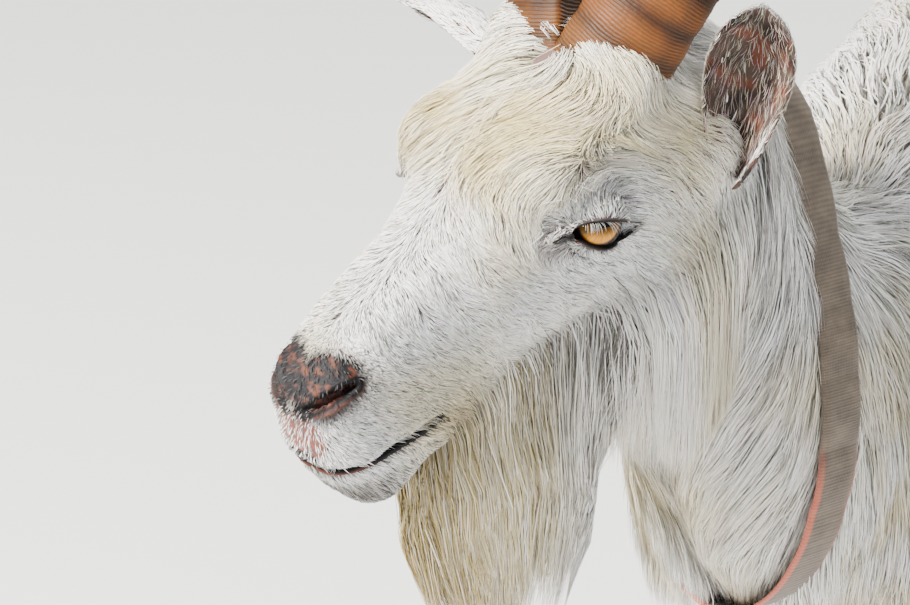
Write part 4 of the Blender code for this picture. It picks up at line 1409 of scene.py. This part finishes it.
def eye_colour(angle, turn, local, points, settings):
    """Colours by the angle from the gaze: pupil, iris with spokes, dark rim and dark ball.

    The pupil is a level bar with rounded ends, level in the world as a goat keeps it. The upper lid
    and its lashes shade what lies above a slanted line.
    """
    def flat(*colour):
        return np.tile(colour, (len(points), 1))

    rng = np.random.default_rng(5)
    waves = zip((17, 29, 43, 61), rng.uniform(0, 6, 4))
    spokes = sum(np.sin(number * turn + start) for number, start in waves) / 4
    bright = np.clip(0.35 + 0.5 * spokes, 0, 1) * ease(angle, 8, 22)
    colour = mix(flat(*settings.iris_deep), np.array(settings.iris), bright)
    colour = mix(colour, flat(0.10, 0.035, 0.006), ease(angle, 38, 44))
    colour = mix(colour, flat(0.20, 0.07, 0.010), 0.6 * (1 - ease(angle, 9, 17)))
    bar_half_length, bar_radius = 13, 8.0
    beyond = np.maximum(np.abs(angle * np.cos(turn)) - bar_half_length, 0)
    bar = np.hypot(beyond, angle * np.sin(turn))
    colour = mix(colour, flat(0.003, 0.003, 0.004), 1 - ease(bar, bar_radius, bar_radius + 2.0))
    shade = ease(local @ np.array([0.0, -0.42, 0.90]), -0.0035, 0.0015)
    colour = mix(colour, colour * 0.12, 0.92 * shade)
    veins = shares(lumps(points, 0.004, 6))
    ball = mix(flat(0.012, 0.006, 0.005), flat(0.004, 0.003, 0.003), veins)
    return mix(colour, ball, ease(angle, 43, 46))


def eye_material():
    """A moist eye under a thin clear coat."""
    g = Graph("goat_eye")
    grain = g.noise(g.place(), 1800, 4, 0.7)
    g.set(Base_Color=g.darker(g.times(grain, 0.5), g.attribute("tint"), (0.45, 0.40, 0.35)))
    g.set(Roughness=0.30, Specular_IOR_Level=0.06, Coat_Weight=0.16, Coat_Roughness=0.04)
    g.set(Normal=g.bump(grain, 0.08, 0.0002))


def build_lashes(settings):
    """Long pale lashes that leave the upper rim outwards and arch down over the eye, fanned."""
    rng = np.random.default_rng(77)
    clouds, facings, stations = [], [], 7
    count = int(36 * settings.density) + 12
    for side in (1, -1):
        t = 0.19 + 0.24 * rng.uniform(0, 1, count) ** 0.8
        rim = closed_through(LID_RIM, t)
        way = eye_ways(rim[:, :2])
        reach = np.maximum(rim[:, 2], ball_reach(way) + 0.0006) + 0.0003
        start = way * reach[:, None] + (EYE_SPREAD, 0, 0)
        fan = (0.27 - t) * 3.2
        drop = np.stack([np.full(count, 0.42), 0.60 + 1.5 * fan, 0.5 * fan - 0.75], -1)
        drop = unit(drop + rng.normal(0, 0.10, (count, 3)))
        out = unit(way + rng.normal(0, 0.08, (count, 3)))
        s = np.linspace(0, 1, stations)[None, :, None]
        steps = unit(out[:, None, :] * (1 - s) ** 1.5 * 0.9 + drop[:, None, :] * (0.35 + 0.65 * s))
        run = np.concatenate([np.zeros((count, 1, 3)), np.cumsum(steps[:, :-1], axis=1)], axis=1)
        length = rng.uniform(0.0055, 0.0095, count) * (0.55 + 0.45 * np.sin(np.pi * (t - 0.17) / 0.26))
        paths = start[:, None, :] + run * (length / (stations - 1))[:, None, None]
        paths[..., 0] *= side
        clouds.append(from_head(paths.reshape(-1, 3)).reshape(paths.shape))
        facings.append(ways_from_head(way * (side, 1, 1)))
    paths = np.concatenate(clouds)
    total = len(paths)
    tint = np.tile([0.86, 0.83, 0.76], (total, 1)) * rng.uniform(0.7, 1.05, (total, 1))
    width, roll = np.full(total, 0.00019), np.zeros(total)
    chart = skin_chart(paths[:, 0])
    # painted shade: each lash a little darker at its foot
    ribbons("lashes", paths, np.concatenate(facings), width, tint, tint * 0.8, roll, chart)


HORN_BASE, HORN_BEND = (0.0190, 0.0275), math.radians(82)


def horn_path(side, along, length):
    """Centre line of a horn in head axes (left, back, out): 13 stations of a spiralling arc."""
    stations = np.linspace(0, 1, 13)
    angle = math.radians(50) - HORN_BEND * stations
    ways = unit(np.stack([side * (0.30 + 0.12 * stations), np.cos(angle), np.sin(angle)], -1)) * length / 12
    path = np.array([side * 0.022, 0.061, 0.031]) + np.cumsum(ways, axis=0) - ways[0]
    return through(path, along)


def bump_at(angles, middle, width):
    """exp(-((angle - middle) / width)^2), with the angles taken round the circle."""
    return np.exp(-(((np.mod(angles - middle + np.pi, 2 * np.pi) - np.pi) / width) ** 2))


def build_horn(side, settings):
    """Rings of an egg-shaped section along the path. Ridges: growth rings that swell the section by up
    to 2.2 %, closer towards the tip, and fine ones between; a keel runs down the front edge."""
    rows, around = 260, 72
    along = np.linspace(0, 1, rows)
    path = horn_path(side, along, settings.length)
    tangent = unit(np.gradient(path, axis=0))
    keel = np.array([-0.765 * side, -0.225, 0.603])
    deep = unit(keel - (tangent @ keel)[:, None] * tangent)
    wide = np.cross(deep, tangent)
    taper = (1 - along) ** 0.72 + 0.07
    dome = np.sqrt(np.clip(1 - ((along - 0.985) / 0.015) ** 2, 0.0, 1))
    tip = np.where(along > 0.985, dome, 1.0)
    a = np.linspace(0, 2 * np.pi, around, endpoint=False)
    sway = 0.35 * np.sin(a + 1.0) + 0.2 * np.sin(2 * a)
    phase = 2 * np.pi * (15 * along[:, None] ** 0.85 + 0.05 * sway) + 0.7 * np.sin(9 * along)[:, None]
    groove = shares(np.cos(phase)) ** 0.6
    ring = 0.022 * groove * (1 - 0.7 * along[:, None])
    fine = 0.0045 * np.sin(phase * 7 + 2 * np.sin(a * 3)) + 0.004 * np.sin(phase * 13 + a)
    size = (taper * tip)[:, None] * (0.945 + ring + fine)
    front = np.cos(a) * (1 + 0.10 * bump_at(a, 0, 0.30)) * HORN_BASE[1] * size
    flank = np.sin(a) * (1 - 0.11 * np.cos(a)) * HORN_BASE[0] * size
    points = path[:, None, :] + deep[:, None, :] * front[..., None] + wide[:, None, :] * flank[..., None]
    points = points.reshape(-1, 3) * (1, -1, 1)
    horn = build_mesh("horn_sheath_" + SIDES[side], from_head(points), capped_faces(rows, around))
    middle = np.repeat(path * (1, -1, 1), around, axis=0)
    face_outwards(horn, ways_from_head(points - middle))
    along_all = np.repeat(along, around)
    tint = mix(np.array([0.075, 0.042, 0.022]), np.array([0.36, 0.20, 0.085]), groove.ravel()[:, None])
    tint = mix(tint, tint * (1.35, 1.15, 0.9), 0.6 * shares(lumps(points, 0.012, 71)))
    tint = mix(tint, np.array([0.42, 0.29, 0.15]), 0.35 * ease(along_all, 0.6, 1.0))
    tint = mix(tint, np.array([0.30, 0.20, 0.11]), 0.5 * (1 - ease(along_all, 0.02, 0.10)))
    tint = mix(tint, tint * 0.45, 0.75 * np.tile(bump_at(a, 0.55, 0.22), rows))
    store(horn.data, "tint", tint * np.array(settings.tone), "COLOUR")
    store(horn.data, "run", along_all * settings.length)
    wear(horn, bpy.data.materials["goat_horn"])
    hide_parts("horn_" + SIDES[side])


def horn_material():
    """Horn: fine lines round it, specks and a dull shine."""
    g = Graph("goat_horn")
    place = g.place()
    run = g.times(g.attribute("run", "Fac"), 3600.0)
    wavy = g.plus(run, g.times(g.noise(place, 45, 3), 16.0))
    lines = g.waves(wavy, 1.0)
    speck = g.noise(place, 420, 4, 0.65)
    colour = g.darker(g.times(lines, 0.6), g.attribute("tint"), (0.42, 0.36, 0.32))
    colour = g.darker(g.ramp(speck, [(0.45, 0.0), (0.75, 0.6)]), colour, (1.5, 1.35, 1.1))
    g.set(Base_Color=colour, Roughness=g.plus(0.42, g.times(speck, 0.25)), Specular_IOR_Level=0.22)
    g.set(Normal=g.bump(g.plus(lines, speck), 0.5, 0.0006))


def claw_material():
    """Claws: dark grain that runs down them, with level bands."""
    g = Graph("goat_claw")
    place = g.place()
    grain = g.noise(g.scaled(place, (1, 1, 0.25)), 160, 5, 0.65)
    bands = g.bands(place, 42, 2.5)
    browns = ((0.30, (0.035, 0.028, 0.022)), (0.55, (0.11, 0.085, 0.062)), (0.80, (0.24, 0.19, 0.135)))
    g.set(Base_Color=g.mix(g.times(bands, 0.3), g.ramp(grain, browns), (0.05, 0.04, 0.03)))
    g.set(Roughness=g.plus(0.5, g.times(grain, 0.2)), Normal=g.bump(g.plus(grain, bands), 0.5, 0.0008))
    return g.material


STRAP_RADIUS, RIB_STEP = 0.115, 0.0022


def strap_edges(turn, angle, reach, height):
    """The band's four edges by the angle round it: low and high, each outside and inside."""
    edges = []
    for sign in (-1, 1):
        mine = np.sign(height) == sign
        bins = np.round(angle[mine], 3)
        order = np.argsort(bins)
        keys, first = np.unique(bins[order], return_index=True)
        level = np.interp(turn, keys, height[mine][order][first], period=2 * np.pi)
        for pick in (np.maximum, np.minimum):
            far = pick.reduceat(reach[mine][order], first)
            edges.append((np.interp(turn, keys, far, period=2 * np.pi), level))
    return edges


def build_collar():
    """A woven strap round the neck: the solid band's edges, rounded, with ribs across it.

    Its rows go from one edge over the outer face to the other edge and back along the inside.
    """
    cad = mesh_points(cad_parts["collar"].data)
    middle = cad.mean(axis=0)
    off = cad - middle
    _, _, axes = np.linalg.svd(off)
    normal = axes[2] * np.sign(axes[2][1])
    first = unit(np.cross(normal, [0, 0, 1.0]))
    second = np.cross(normal, first)
    angle, reach = np.arctan2(off @ second, off @ first), np.hypot(off @ first, off @ second)
    around, across = 500, 22
    turn = np.linspace(-np.pi, np.pi, around, endpoint=False)
    edges = strap_edges(turn, angle, reach, off @ normal)
    (out_low, z_low), (in_low, _), (out_high, z_high), (in_high, _) = edges
    v = np.linspace(0, 1, across)[:, None]
    from_middle = np.abs(2 * v - 1)
    rib = 0.00015 * np.sin(turn * 2 * np.pi * STRAP_RADIUS / RIB_STEP)[None, :] * (from_middle < 0.86)
    hem = -0.00035 * np.exp(-(((from_middle - 0.80) / 0.05) ** 2))
    outer = out_low + (out_high - out_low) * v - 0.0012 * from_middle**14 + rib + hem - 0.0003
    inner = in_high + (in_low - in_high) * v + 0.0004
    level = np.concatenate([z_low + (z_high - z_low) * v, z_high + (z_low - z_high) * v])
    reach = np.concatenate([outer, inner]) - 0.0035
    ways = first * np.cos(turn)[:, None] + second * np.sin(turn)[:, None]
    points = middle + ways[None] * reach[..., None] + normal * level[..., None]
    rows = 2 * across
    faces = grid_faces(rows + 1, around, wrap=True) % (rows * around)
    strap = build_mesh("collar_strap", points.reshape(-1, 3), faces)
    face_outwards(strap, np.concatenate([np.tile(ways, (across, 1)), np.tile(-ways, (across, 1))]))
    store(strap.data, "across", np.repeat(np.concatenate([v[:, 0], v[::-1, 0]]), around))
    store(strap.data, "round", np.tile(turn * STRAP_RADIUS, rows))
    store(strap.data, "drop", np.tile(ease(-ways[:, 2], 0.2, 0.6), rows))
    wear(strap, bpy.data.materials["goat_collar"])
    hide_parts("collar")


def collar_material(settings):
    """Taupe webbing: fine ribs across, darker stitches along both hems, worn red dye at the front edge."""
    g = Graph("goat_collar")
    across, run = g.attribute("across", "Fac"), g.attribute("round", "Fac")
    place = g.place()
    ribs = g.waves(run, 2855.0)
    weave = g.waves(across, 150.0)
    worn = g.noise(place, 70, 4, 0.65)
    webbing = np.array(settings.webbing)
    dark, pale = webbing * (0.517, 0.509, 0.514), webbing * (1.448, 1.574, 1.622)
    base = g.ramp(worn, [(0.25, dark), (0.6, webbing), (0.85, pale)])
    colour = g.darker(g.times(ribs, 0.45), base, (0.45, 0.42, 0.40))
    edge = g.ramp(across, [(0.0, 1.0), (0.10, 1.0), (0.16, 0.0), (0.90, 0.0), (0.94, 0.45), (1.0, 0.6)])
    red = g.mix(worn, tuple(settings.edge), (0.45, 0.14, 0.07))
    g.set(Base_Color=g.mix(g.times(edge, g.attribute("drop", "Fac")), colour, red))
    g.set(Roughness=0.85, Sheen_Weight=0.2)
    fuzz = g.noise(place, 1600, 3, 0.7)
    g.set(Normal=g.bump(g.plus(g.plus(ribs, g.times(weave, 0.5)), fuzz), 0.5, 0.0004))


# the beard's half depth and half width from its top to its lower end
BEARD_SIZES = [
    (0.064, 0.024), (0.067, 0.033), (0.066, 0.034), (0.057, 0.028), (0.040, 0.019), (0.015, 0.008),
]
BEARD_DEPTHS = (0, 0.25, 0.45, 0.68, 0.88, 1)
BEARD_FALL = 0.180


def build_beard(field, settings):
    """Long hair from chin and jaw. Each root has a place in the beard's oval, which narrows as it falls:
    place(d) = centre(d) + forward * p * depth(d) + left * q * width(d)."""
    rng = np.random.default_rng(301)
    count = int(14500 * settings.density)
    h = field.local
    jaw = (h[:, 1] > -0.025) & (h[:, 1] < 0.114 - 0.3 * np.abs(h[:, 0])) & (h[:, 2] < -0.050)
    weight = jaw * field.head * (field.part == BODY) * (1 + 2.0 * ease(h[:, 1], 0.04, 0.09))
    roots, normals = scatter(rng, field, weight, count)
    local = to_head(roots)
    p = np.clip((local[:, 1] - 0.046) / 0.066 + rng.normal(0, 0.10, count), -1, 1)
    q = np.clip(local[:, 0] / 0.026 + rng.normal(0, 0.30, count), -1, 1)
    over = np.maximum(1, np.hypot(p, q))
    p, q = p / over, q / over
    top = from_head([[0, 0.048, -0.080]])[0]
    bottom = top + np.array([0.004, 0.012, -BEARD_FALL])
    forward, left = unit(AXES[:, 1] * (1, 1, 0)), unit(AXES[:, 0] * (1, 1, 0))
    end = np.clip(1.0 - 0.62 * rng.beta(1.1, 1.6, count) - 0.10 * np.hypot(p, q) ** 3, 0.2, 1.0)
    t = np.linspace(0, 1, 7)
    d = t**1.1 * end[:, None]
    sizes = through(BEARD_SIZES, np.interp(d, BEARD_DEPTHS, np.arange(6)) / 5)
    ahead = p[:, None] * sizes[..., 0] * 0.96 + 0.0018 * np.sin(d * 21 + (q * 5 - p * 7)[:, None])
    aside = q[:, None] * sizes[..., 1] * 0.98 + 0.0022 * np.sin(d * 16 + (p * 4 + q * 3)[:, None])
    hanging = top + (bottom - top) * d[..., None] + forward * ahead[..., None] + left * aside[..., None]
    start = (roots - normals * 0.0006)[:, None, :]
    straight = start + normals[:, None, :] * (0.020 * t * (1 - t))[None, :, None]
    straight[..., 2] -= d * 0.185
    paths = mix(straight, hanging, ease(t, 0.02, 0.55)[None, :, None])
    paths[:, 0] = start[:, 0]
    paths = gathered(paths, rng, 0.011, 0.55)
    tufted = 0.30 * ease(lumps(roots, 0.02, 91), 0.3, 0.9)
    golden = np.clip(ease(p, 0.25, 0.80) * 0.95 + tufted, 0, 0.9)
    creamy = ease(p, -0.8, 0.2) * (0.15 + 0.75 * rng.uniform(0, 1, count))
    tint = mix(np.tile(settings.white, (count, 1)), np.array(settings.cream), creamy)
    tint = mix(tint, np.array(settings.gold), golden * rng.uniform(0.1, 1.0, count) ** 0.9)
    tint = np.clip(tint * (1 + 0.12 * rng.normal(size=(count, 1))), 0.02, 0.9)
    # painted shade: an eighth of the beard's blades darkened, for the shadowed gaps between locks
    tint = np.where(rng.uniform(size=(count, 1)) < 0.12, tint * (0.42, 0.37, 0.28), tint)
    facing = unit(forward * p[:, None] + left * q[:, None] + 0.15 * normals)
    width, roll = rng.uniform(0.00035, 0.0008, count), rng.normal(0, 0.6, count)
    chart = skin_chart(roots)
    # painted shade: each blade's foot darkened, deep in the beard
    beard = ribbons("beard_hair", paths, facing, width, tint, tint * 0.42, roll, chart)
    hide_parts("beard")


# ---- where each piece of coat grows

# the lower edge of the jaw's hair: height by how far forward of the eyes
JAW_FORWARD = [-0.098, -0.075, -0.045, -0.010, 0.030, 0.070, 0.110, 0.135]
JAW_EDGE = [-0.120, -0.144, -0.168, -0.186, -0.184, -0.152, -0.105, -0.080]


def jaw_length(points):
    """Long enough to hang to the curtain's lower edge below each root."""
    h = to_head(points)
    lowest = np.interp(h[:, 1], JAW_FORWARD, JAW_EDGE)
    lowest = np.interp(h[:, 1] + 0.40 * (h[:, 2] - lowest), JAW_FORWARD, JAW_EDGE)
    return np.clip((h[:, 2] - lowest) / 0.92, 0.022, 0.098)


def strap_gap(points):
    """0 under the collar's strap, 1 clear of it."""
    ahead = (points - COLLAR_AT) @ unit(COLLAR_WAY)
    return np.maximum(ease(ahead, 0.002, 0.006), ease(-ahead, 0.008, 0.011))


def under_throat(points):
    """1 on the lower and right side of the neck just ahead of the strap, where the hair hangs over it."""
    off = points - COLLAR_AT
    ahead = off @ unit(COLLAR_WAY)
    left = off @ np.array([0.884, -0.468, 0.0])
    right_side = ease(-left, -0.01, 0.03) * ease(-off[:, 2], -0.05, 0.0)
    low = np.maximum(right_side, ease(-off[:, 2], 0.055, 0.085))
    return low * ease(ahead, -0.004, 0.004) * (1 - ease(ahead, 0.045, 0.070))


def lay_head_coat(field, settings):
    """Short hair on the face, longer locks on the forehead, and the curtain that hangs from the jaw."""
    h, m = field.local, mirrored(field.local)
    left = h[:, 0] > 0
    face = haired(field) * ease(field.head, 0.3, 0.6)
    denser = (0.011 / face_length(field.middle)) ** 1.5 * np.where(field.part == LIDS, 0.9, 1)
    for name, side, count, seed in (("left", left, 66000, 101), ("right", ~left, 46000, 102)):
        tufts(
            field, settings, "coat_face_" + name, face * side * denser, count, seed,
            length=face_length, width=0.00047, lift=0.0018, steps=2, cell=0.0030, pull=0.30,
            vary=0.16, root=face_root, soft=0.22, shady=face_shade,
        )
    face = face * (field.part == BODY)
    tufts(
        field, settings, "coat_forehead",
        face * ease(h[:, 2], 0.018, 0.032) * ease(-m[:, 1], -0.020, 0.005), 15000, 110,
        length=0.031, width=0.00046, lift=0.0050, cell=0.010, pull=0.5, spread=0.20, vary=0.13, root=0.36,
    )
    jaw = ease(-m[:, 2], 0.030, 0.060) * ease(-m[:, 1], -0.115, -0.085) * ease(m[:, 0], 0.004, 0.016)
    tufts(
        field, settings, "coat_jaw", face * jaw, 16500, 115,
        length=jaw_length, width=0.00052, lift=0.0080, fall=0.85, cell=0.010, pull=0.5, spread=0.18,
        vary=0.12, root=0.38,
    )


def lay_body_coat(field, settings):
    """Long hair on throat, neck, trunk and tail, shorter on the legs, none under the strap."""
    x, y, _ = field.middle.T
    body = (field.part == BODY) * (1 - field.head)
    tufts(
        field, settings, "coat_throat", body * under_throat(field.middle), 6500, 118,
        length=0.058, width=0.0007, lift=0.017, fall=0.55, cell=0.014, pull=0.5, spread=0.2,
        vary=0.10, root=0.42,
    )
    upper = body * (1 - field.legs) * strap_gap(field.middle)
    behind = ease(y, -0.30, -0.20)
    left = x > -0.01
    for number, (name, side, share) in enumerate((("left", left, 1.0), ("right", ~left, 0.75))):
        tufts(
            field, settings, "coat_neck_" + name, upper * (1 - behind) * side, 23000 * share, 120 + number,
            length=0.050, width=0.00068, lift=0.009, fall=0.30, cell=0.014, pull=0.5, spread=0.22,
            vary=0.10, root=0.42,
        )
        trunk = upper * behind * (1 - field.tail) * side
        tufts(
            field, settings, "coat_trunk_" + name, trunk, 19500 * share, 130 + number,
            length=0.052, width=0.0013, lift=0.009, fall=0.2, cell=0.018, pull=0.45, spread=0.22,
            vary=0.09, root=0.5,
        )
    rear, flesh = y > 0.1, field.part == BODY
    for name, end, seed in (("fore", ~rear, 141), ("hind", rear, 140)):
        tufts(
            field, settings, "coat_legs_" + name, flesh * field.legs * end, 13000, seed,
            length=0.020, width=0.0011, lift=0.0030, steps=3, cell=0.009,
        )
    tufts(
        field, settings, "coat_tail", flesh * field.tail, 3000, 150,
        length=0.055, width=0.0018, lift=0.008, fall=0.5, cell=0.014, pull=0.5,
    )


def groom_ear(points, normals):
    """Along each ear to its tip."""
    left = to_head(points)[:, :1] > 0
    way = np.where(left, *(ear_frame(name)[1] * (1, -1, 1) for name in EARS))
    return ways_from_head(way + 0.25 * wander(points, 0.02, (65, 66, 67)))


def hollow_brown(points, settings):
    """Grey-brown at every root."""
    return np.tile([0.36, 0.30, 0.255], (len(points), 1))


def lay_ears(field, settings):
    """Short flat hair on the ears' backs and rims, sparse grey-brown hair from the edges inside."""
    opening = np.zeros((len(field.part), 3))
    for part, name in zip((LEFT_EAR, RIGHT_EAR), EARS):
        opening[field.part == part] = ways_from_head(ear_frame(name)[2] * (1, -1, 1))
    normal = unit(field.normals[field.triangles].sum(axis=1))
    inside = ease((normal * opening).sum(axis=1), 0.0, 0.3)
    ears = field.part >= LEFT_EAR
    tufts(
        field, settings, "coat_ear_backs", ears * (1 - 0.995 * inside), 9000, 160,
        length=0.009, width=0.0006, lift=0.0010, steps=3, lay=groom_ear, cell=0.004, pull=0.25,
    )
    tufts(
        field, settings, "coat_ear_hollows", ears * inside, 1400, 161,
        length=0.013, width=0.00030, lift=0.0020, steps=3, lay=groom_ear, cell=0.004, pull=0.35,
        root=0.4, vary=0.35, colour=hollow_brown,
    )


# ---- stage

FLOOR_REACH = 5.0
SOFT_LIGHT, BACKGROUND = ((0.80, 0.86, 0.93), 0.24), ((0.90, 0.905, 0.90), 1.5)
LAMPS = (  # name, place, size, share of the key light's power, colour
    ("key", (-1.5, -2.2, 3.0), 0.8, 1.0, (1.0, 0.975, 0.94)),
    ("fill", (2.6, -2.0, 1.6), 2.2, 0.10, (0.93, 0.96, 1.0)),
    ("rim", (1.2, 2.4, 2.4), 1.4, 0.17, (1.0, 0.99, 0.96)),
)


def placed(name, data, place, way):
    """A lamp or camera at a place, with its back turned to the given way."""
    obj = bpy.data.objects.new(name, data)
    obj.location = place
    obj.rotation_euler = Vector(way).to_track_quat("Z", "Y").to_euler()
    bpy.context.scene.collection.objects.link(obj)
    return obj


def build_floor():
    """A level pale square under the hooves."""
    corners = np.array([(-1, -1, 0), (1, -1, 0), (1, 1, 0), (-1, 1, 0)]) * FLOOR_REACH
    floor = build_mesh("floor", corners, np.array([[0, 1, 2, 3]]), smooth=False)
    g = Graph("floor")
    g.set(Base_Color=(0.80, 0.80, 0.79), Roughness=0.9)
    floor.data.materials.append(g.material)


def build_lamps(power):
    """Three square soft lamps that point at the chest."""
    aim = Vector((-0.05, -0.2, 0.7))
    for name, place, size, share, colour in LAMPS:
        lamp = bpy.data.lights.new(name, "AREA")
        lamp.shape, lamp.size, lamp.size_y = "RECTANGLE", size, size
        lamp.energy, lamp.color = power * share, colour
        placed(name, lamp, place, Vector(place) - aim)


def build_world():
    """A soft bluish light from all round, seen by the camera as a pale plain background."""
    world = bpy.data.worlds.new("studio")
    world.use_nodes = True
    nodes, links = world.node_tree.nodes, world.node_tree.links
    soft, seen = nodes["Background"], nodes.new("ShaderNodeBackground")
    for node, (colour, strength) in ((soft, SOFT_LIGHT), (seen, BACKGROUND)):
        node.inputs["Color"].default_value = (*colour, 1)
        node.inputs["Strength"].default_value = strength
    ray, both = nodes.new("ShaderNodeLightPath"), nodes.new("ShaderNodeMixShader")
    links.new(ray.outputs["Is Camera Ray"], both.inputs[0])
    links.new(soft.outputs[0], both.inputs[1])
    links.new(seen.outputs[0], both.inputs[2])
    links.new(both.outputs[0], nodes["World Output"].inputs["Surface"])
    return world


def build_camera(settings):
    """A camera that looks at a place beside the eyes from the given angles and distance."""
    azimuth, elevation = settings.azimuth, settings.elevation
    level = math.cos(elevation)
    way = np.array([math.sin(azimuth) * level, -math.cos(azimuth) * level, math.sin(elevation)])
    right = np.array([math.cos(azimuth), math.sin(azimuth), 0])
    target = EYES + right * settings.aim_right + np.cross(way, right) * settings.aim_up
    camera = bpy.data.cameras.new("camera")
    camera.sensor_width = 36.0
    camera.lens = camera.sensor_width * settings.distance / settings.view_width
    return placed("camera", camera, target + way * settings.distance, way)


# ---- the add-on


def colour_setting(name, description, default):
    """A colour that the user can change."""
    return FloatVectorProperty(
        name=name, description=description, default=default, size=3, min=0, max=1, subtype="COLOR"
    )


def length_setting(name, description, default):
    """A length that the user can change."""
    return FloatProperty(name=name, description=description, default=default, unit="LENGTH")


def angle_setting(name, description, degrees):
    """An angle that the user can change."""
    return FloatProperty(
        name=name, description=description, default=math.radians(degrees), subtype="ANGLE", unit="ROTATION"
    )


class SkinSettings(bpy.types.PropertyGroup):
    voxel: length_setting("Voxel", "Size of the cells that the flesh is closed with", 0.005)


class EyeSettings(bpy.types.PropertyGroup):
    iris: colour_setting("Iris", "Bright amber between the spokes of the iris", (0.80, 0.42, 0.045))
    iris_deep: colour_setting("Deep iris", "Darker amber of the iris", (0.56, 0.20, 0.010))


class HornSettings(bpy.types.PropertyGroup):
    length: length_setting("Length", "Length of a horn along its middle", 0.360)
    tone: colour_setting("Tone", "Colour that the horn's browns are multiplied by", (0.31, 0.195, 0.082))


class CollarSettings(bpy.types.PropertyGroup):
    webbing: colour_setting("Webbing", "Middle tone of the taupe webbing", (0.145, 0.108, 0.074))
    edge: colour_setting("Edge", "Worn red dye along the front edge", (0.36, 0.045, 0.03))


class CoatSettings(bpy.types.PropertyGroup):
    density: FloatProperty(
        name="Density", description="Share of the full count of tufts",
        default=1.0, min=0.02, max=1.0, subtype="FACTOR",
    )
    white: colour_setting("White", "Most of the coat", tuple(WHITE))
    cream: colour_setting("Cream", "Poll, forehead, jaw, throat and beard", tuple(CREAM))
    gold: colour_setting("Gold", "Corner of the mouth and the beard's front edge", tuple(GOLD))


class StageSettings(bpy.types.PropertyGroup):
    azimuth: angle_setting("Azimuth", "Camera's angle round the goat", 26)
    elevation: angle_setting("Elevation", "Camera's angle above level", 28)
    distance: length_setting("Distance", "From the camera to the place it looks at", 2.0)
    aim_right: length_setting("Aim right", "The place it looks at, to the right of the eyes", -0.02741)
    aim_up: length_setting("Aim up", "The place it looks at, above the eyes", -0.05458)
    view_width: length_setting("View width", "Width of the view at that distance", 0.44542)
    key: FloatProperty(
        name="Key light", description="Power of the soft main light in watts", default=680.0, min=0.0
    )


class GOAT_OT_skin(bpy.types.Operator):
    """Build one skin over the flesh, with nostrils, mouth, creases, lids and ears"""
    bl_idname = "goat.skin"
    bl_label = "Skin"

    def execute(self, context):
        skin = build_skin(context.scene.goat_skin)
        wear(skin, skin_material())
        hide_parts(*FLESH, *EARS)
        return {"FINISHED"}


class GOAT_OT_eyes(bpy.types.Operator):
    """Build the two eyeballs"""
    bl_idname = "goat.eyes"
    bl_label = "Eyes"

    def execute(self, context):
        eye_material()
        for side in SIDES:
            build_eye(side, context.scene.goat_eyes)
        return {"FINISHED"}


class GOAT_OT_horns(bpy.types.Operator):
    """Build the two ridged horn sheaths"""
    bl_idname = "goat.horns"
    bl_label = "Horns"

    def execute(self, context):
        horn_material()
        for side in SIDES:
            build_horn(side, context.scene.goat_horns)
        return {"FINISHED"}


class GOAT_OT_collar(bpy.types.Operator):
    """Build the collar's woven strap"""
    bl_idname = "goat.collar"
    bl_label = "Collar"

    def execute(self, context):
        collar_material(context.scene.goat_collar)
        build_collar()
        return {"FINISHED"}


class GOAT_OT_claws(bpy.types.Operator):
    """Give the eight solid claws their horn"""
    bl_idname = "goat.claws"
    bl_label = "Claws"

    def execute(self, context):
        claw = claw_material()
        for name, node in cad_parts.items():
            if name.startswith("claw"):
                for place in node.material_slots:
                    place.material = claw
        return {"FINISHED"}


class GOAT_OT_coat(bpy.types.Operator):
    """Lay the coat on the skin: face, jaw, throat, neck, trunk, legs, tail and ears, beard and lashes"""
    bl_idname = "goat.coat"
    bl_label = "Coat"

    def execute(self, context):
        settings = context.scene.goat_coat
        coat_material()
        field = Field(bpy.data.objects["skin"])
        lay_head_coat(field, settings)
        lay_body_coat(field, settings)
        lay_ears(field, settings)
        build_beard(field, settings)
        build_lashes(settings)
        return {"FINISHED"}


class GOAT_OT_stage(bpy.types.Operator):
    """Set the floor, the soft studio light and the camera"""
    bl_idname = "goat.stage"
    bl_label = "Stage"

    def execute(self, context):
        settings = context.scene.goat_stage
        build_floor()
        build_lamps(settings.key)
        context.scene.world = build_world()
        context.scene.camera = build_camera(settings)
        return {"FINISHED"}


class GOAT_PT_panel(bpy.types.Panel):
    """The goat's steps and their settings"""
    bl_label = "Goat"
    bl_space_type = "VIEW_3D"
    bl_region_type = "UI"
    bl_category = "Goat"

    def draw(self, context):
        for step, group in STEPS.items():
            self.layout.operator("goat." + step)
            if group:
                for key in group.__annotations__:
                    self.layout.prop(getattr(context.scene, "goat_" + step), key)


STEPS = {
    "skin": SkinSettings, "eyes": EyeSettings, "horns": HornSettings, "collar": CollarSettings,
    "claws": None, "coat": CoatSettings, "stage": StageSettings,
}
GROUPS = {"goat_" + step: group for step, group in STEPS.items() if group}
OPERATORS = (
    GOAT_OT_skin, GOAT_OT_eyes, GOAT_OT_horns, GOAT_OT_collar, GOAT_OT_claws, GOAT_OT_coat, GOAT_OT_stage,
)
CLASSES = (*GROUPS.values(), *OPERATORS, GOAT_PT_panel)


def register():
    """Registers the classes and hangs the settings on the scene."""
    for cls in CLASSES:
        bpy.utils.register_class(cls)
    for name, group in GROUPS.items():
        setattr(bpy.types.Scene, name, PointerProperty(type=group))


def unregister():
    """Takes both away again."""
    for name in GROUPS:
        delattr(bpy.types.Scene, name)
    for cls in reversed(CLASSES):
        bpy.utils.unregister_class(cls)


def main():
    """Builds everything in order."""
    register()
    for step in STEPS:
        getattr(bpy.ops.goat, step)()


if __name__ == "__main__":
    main()
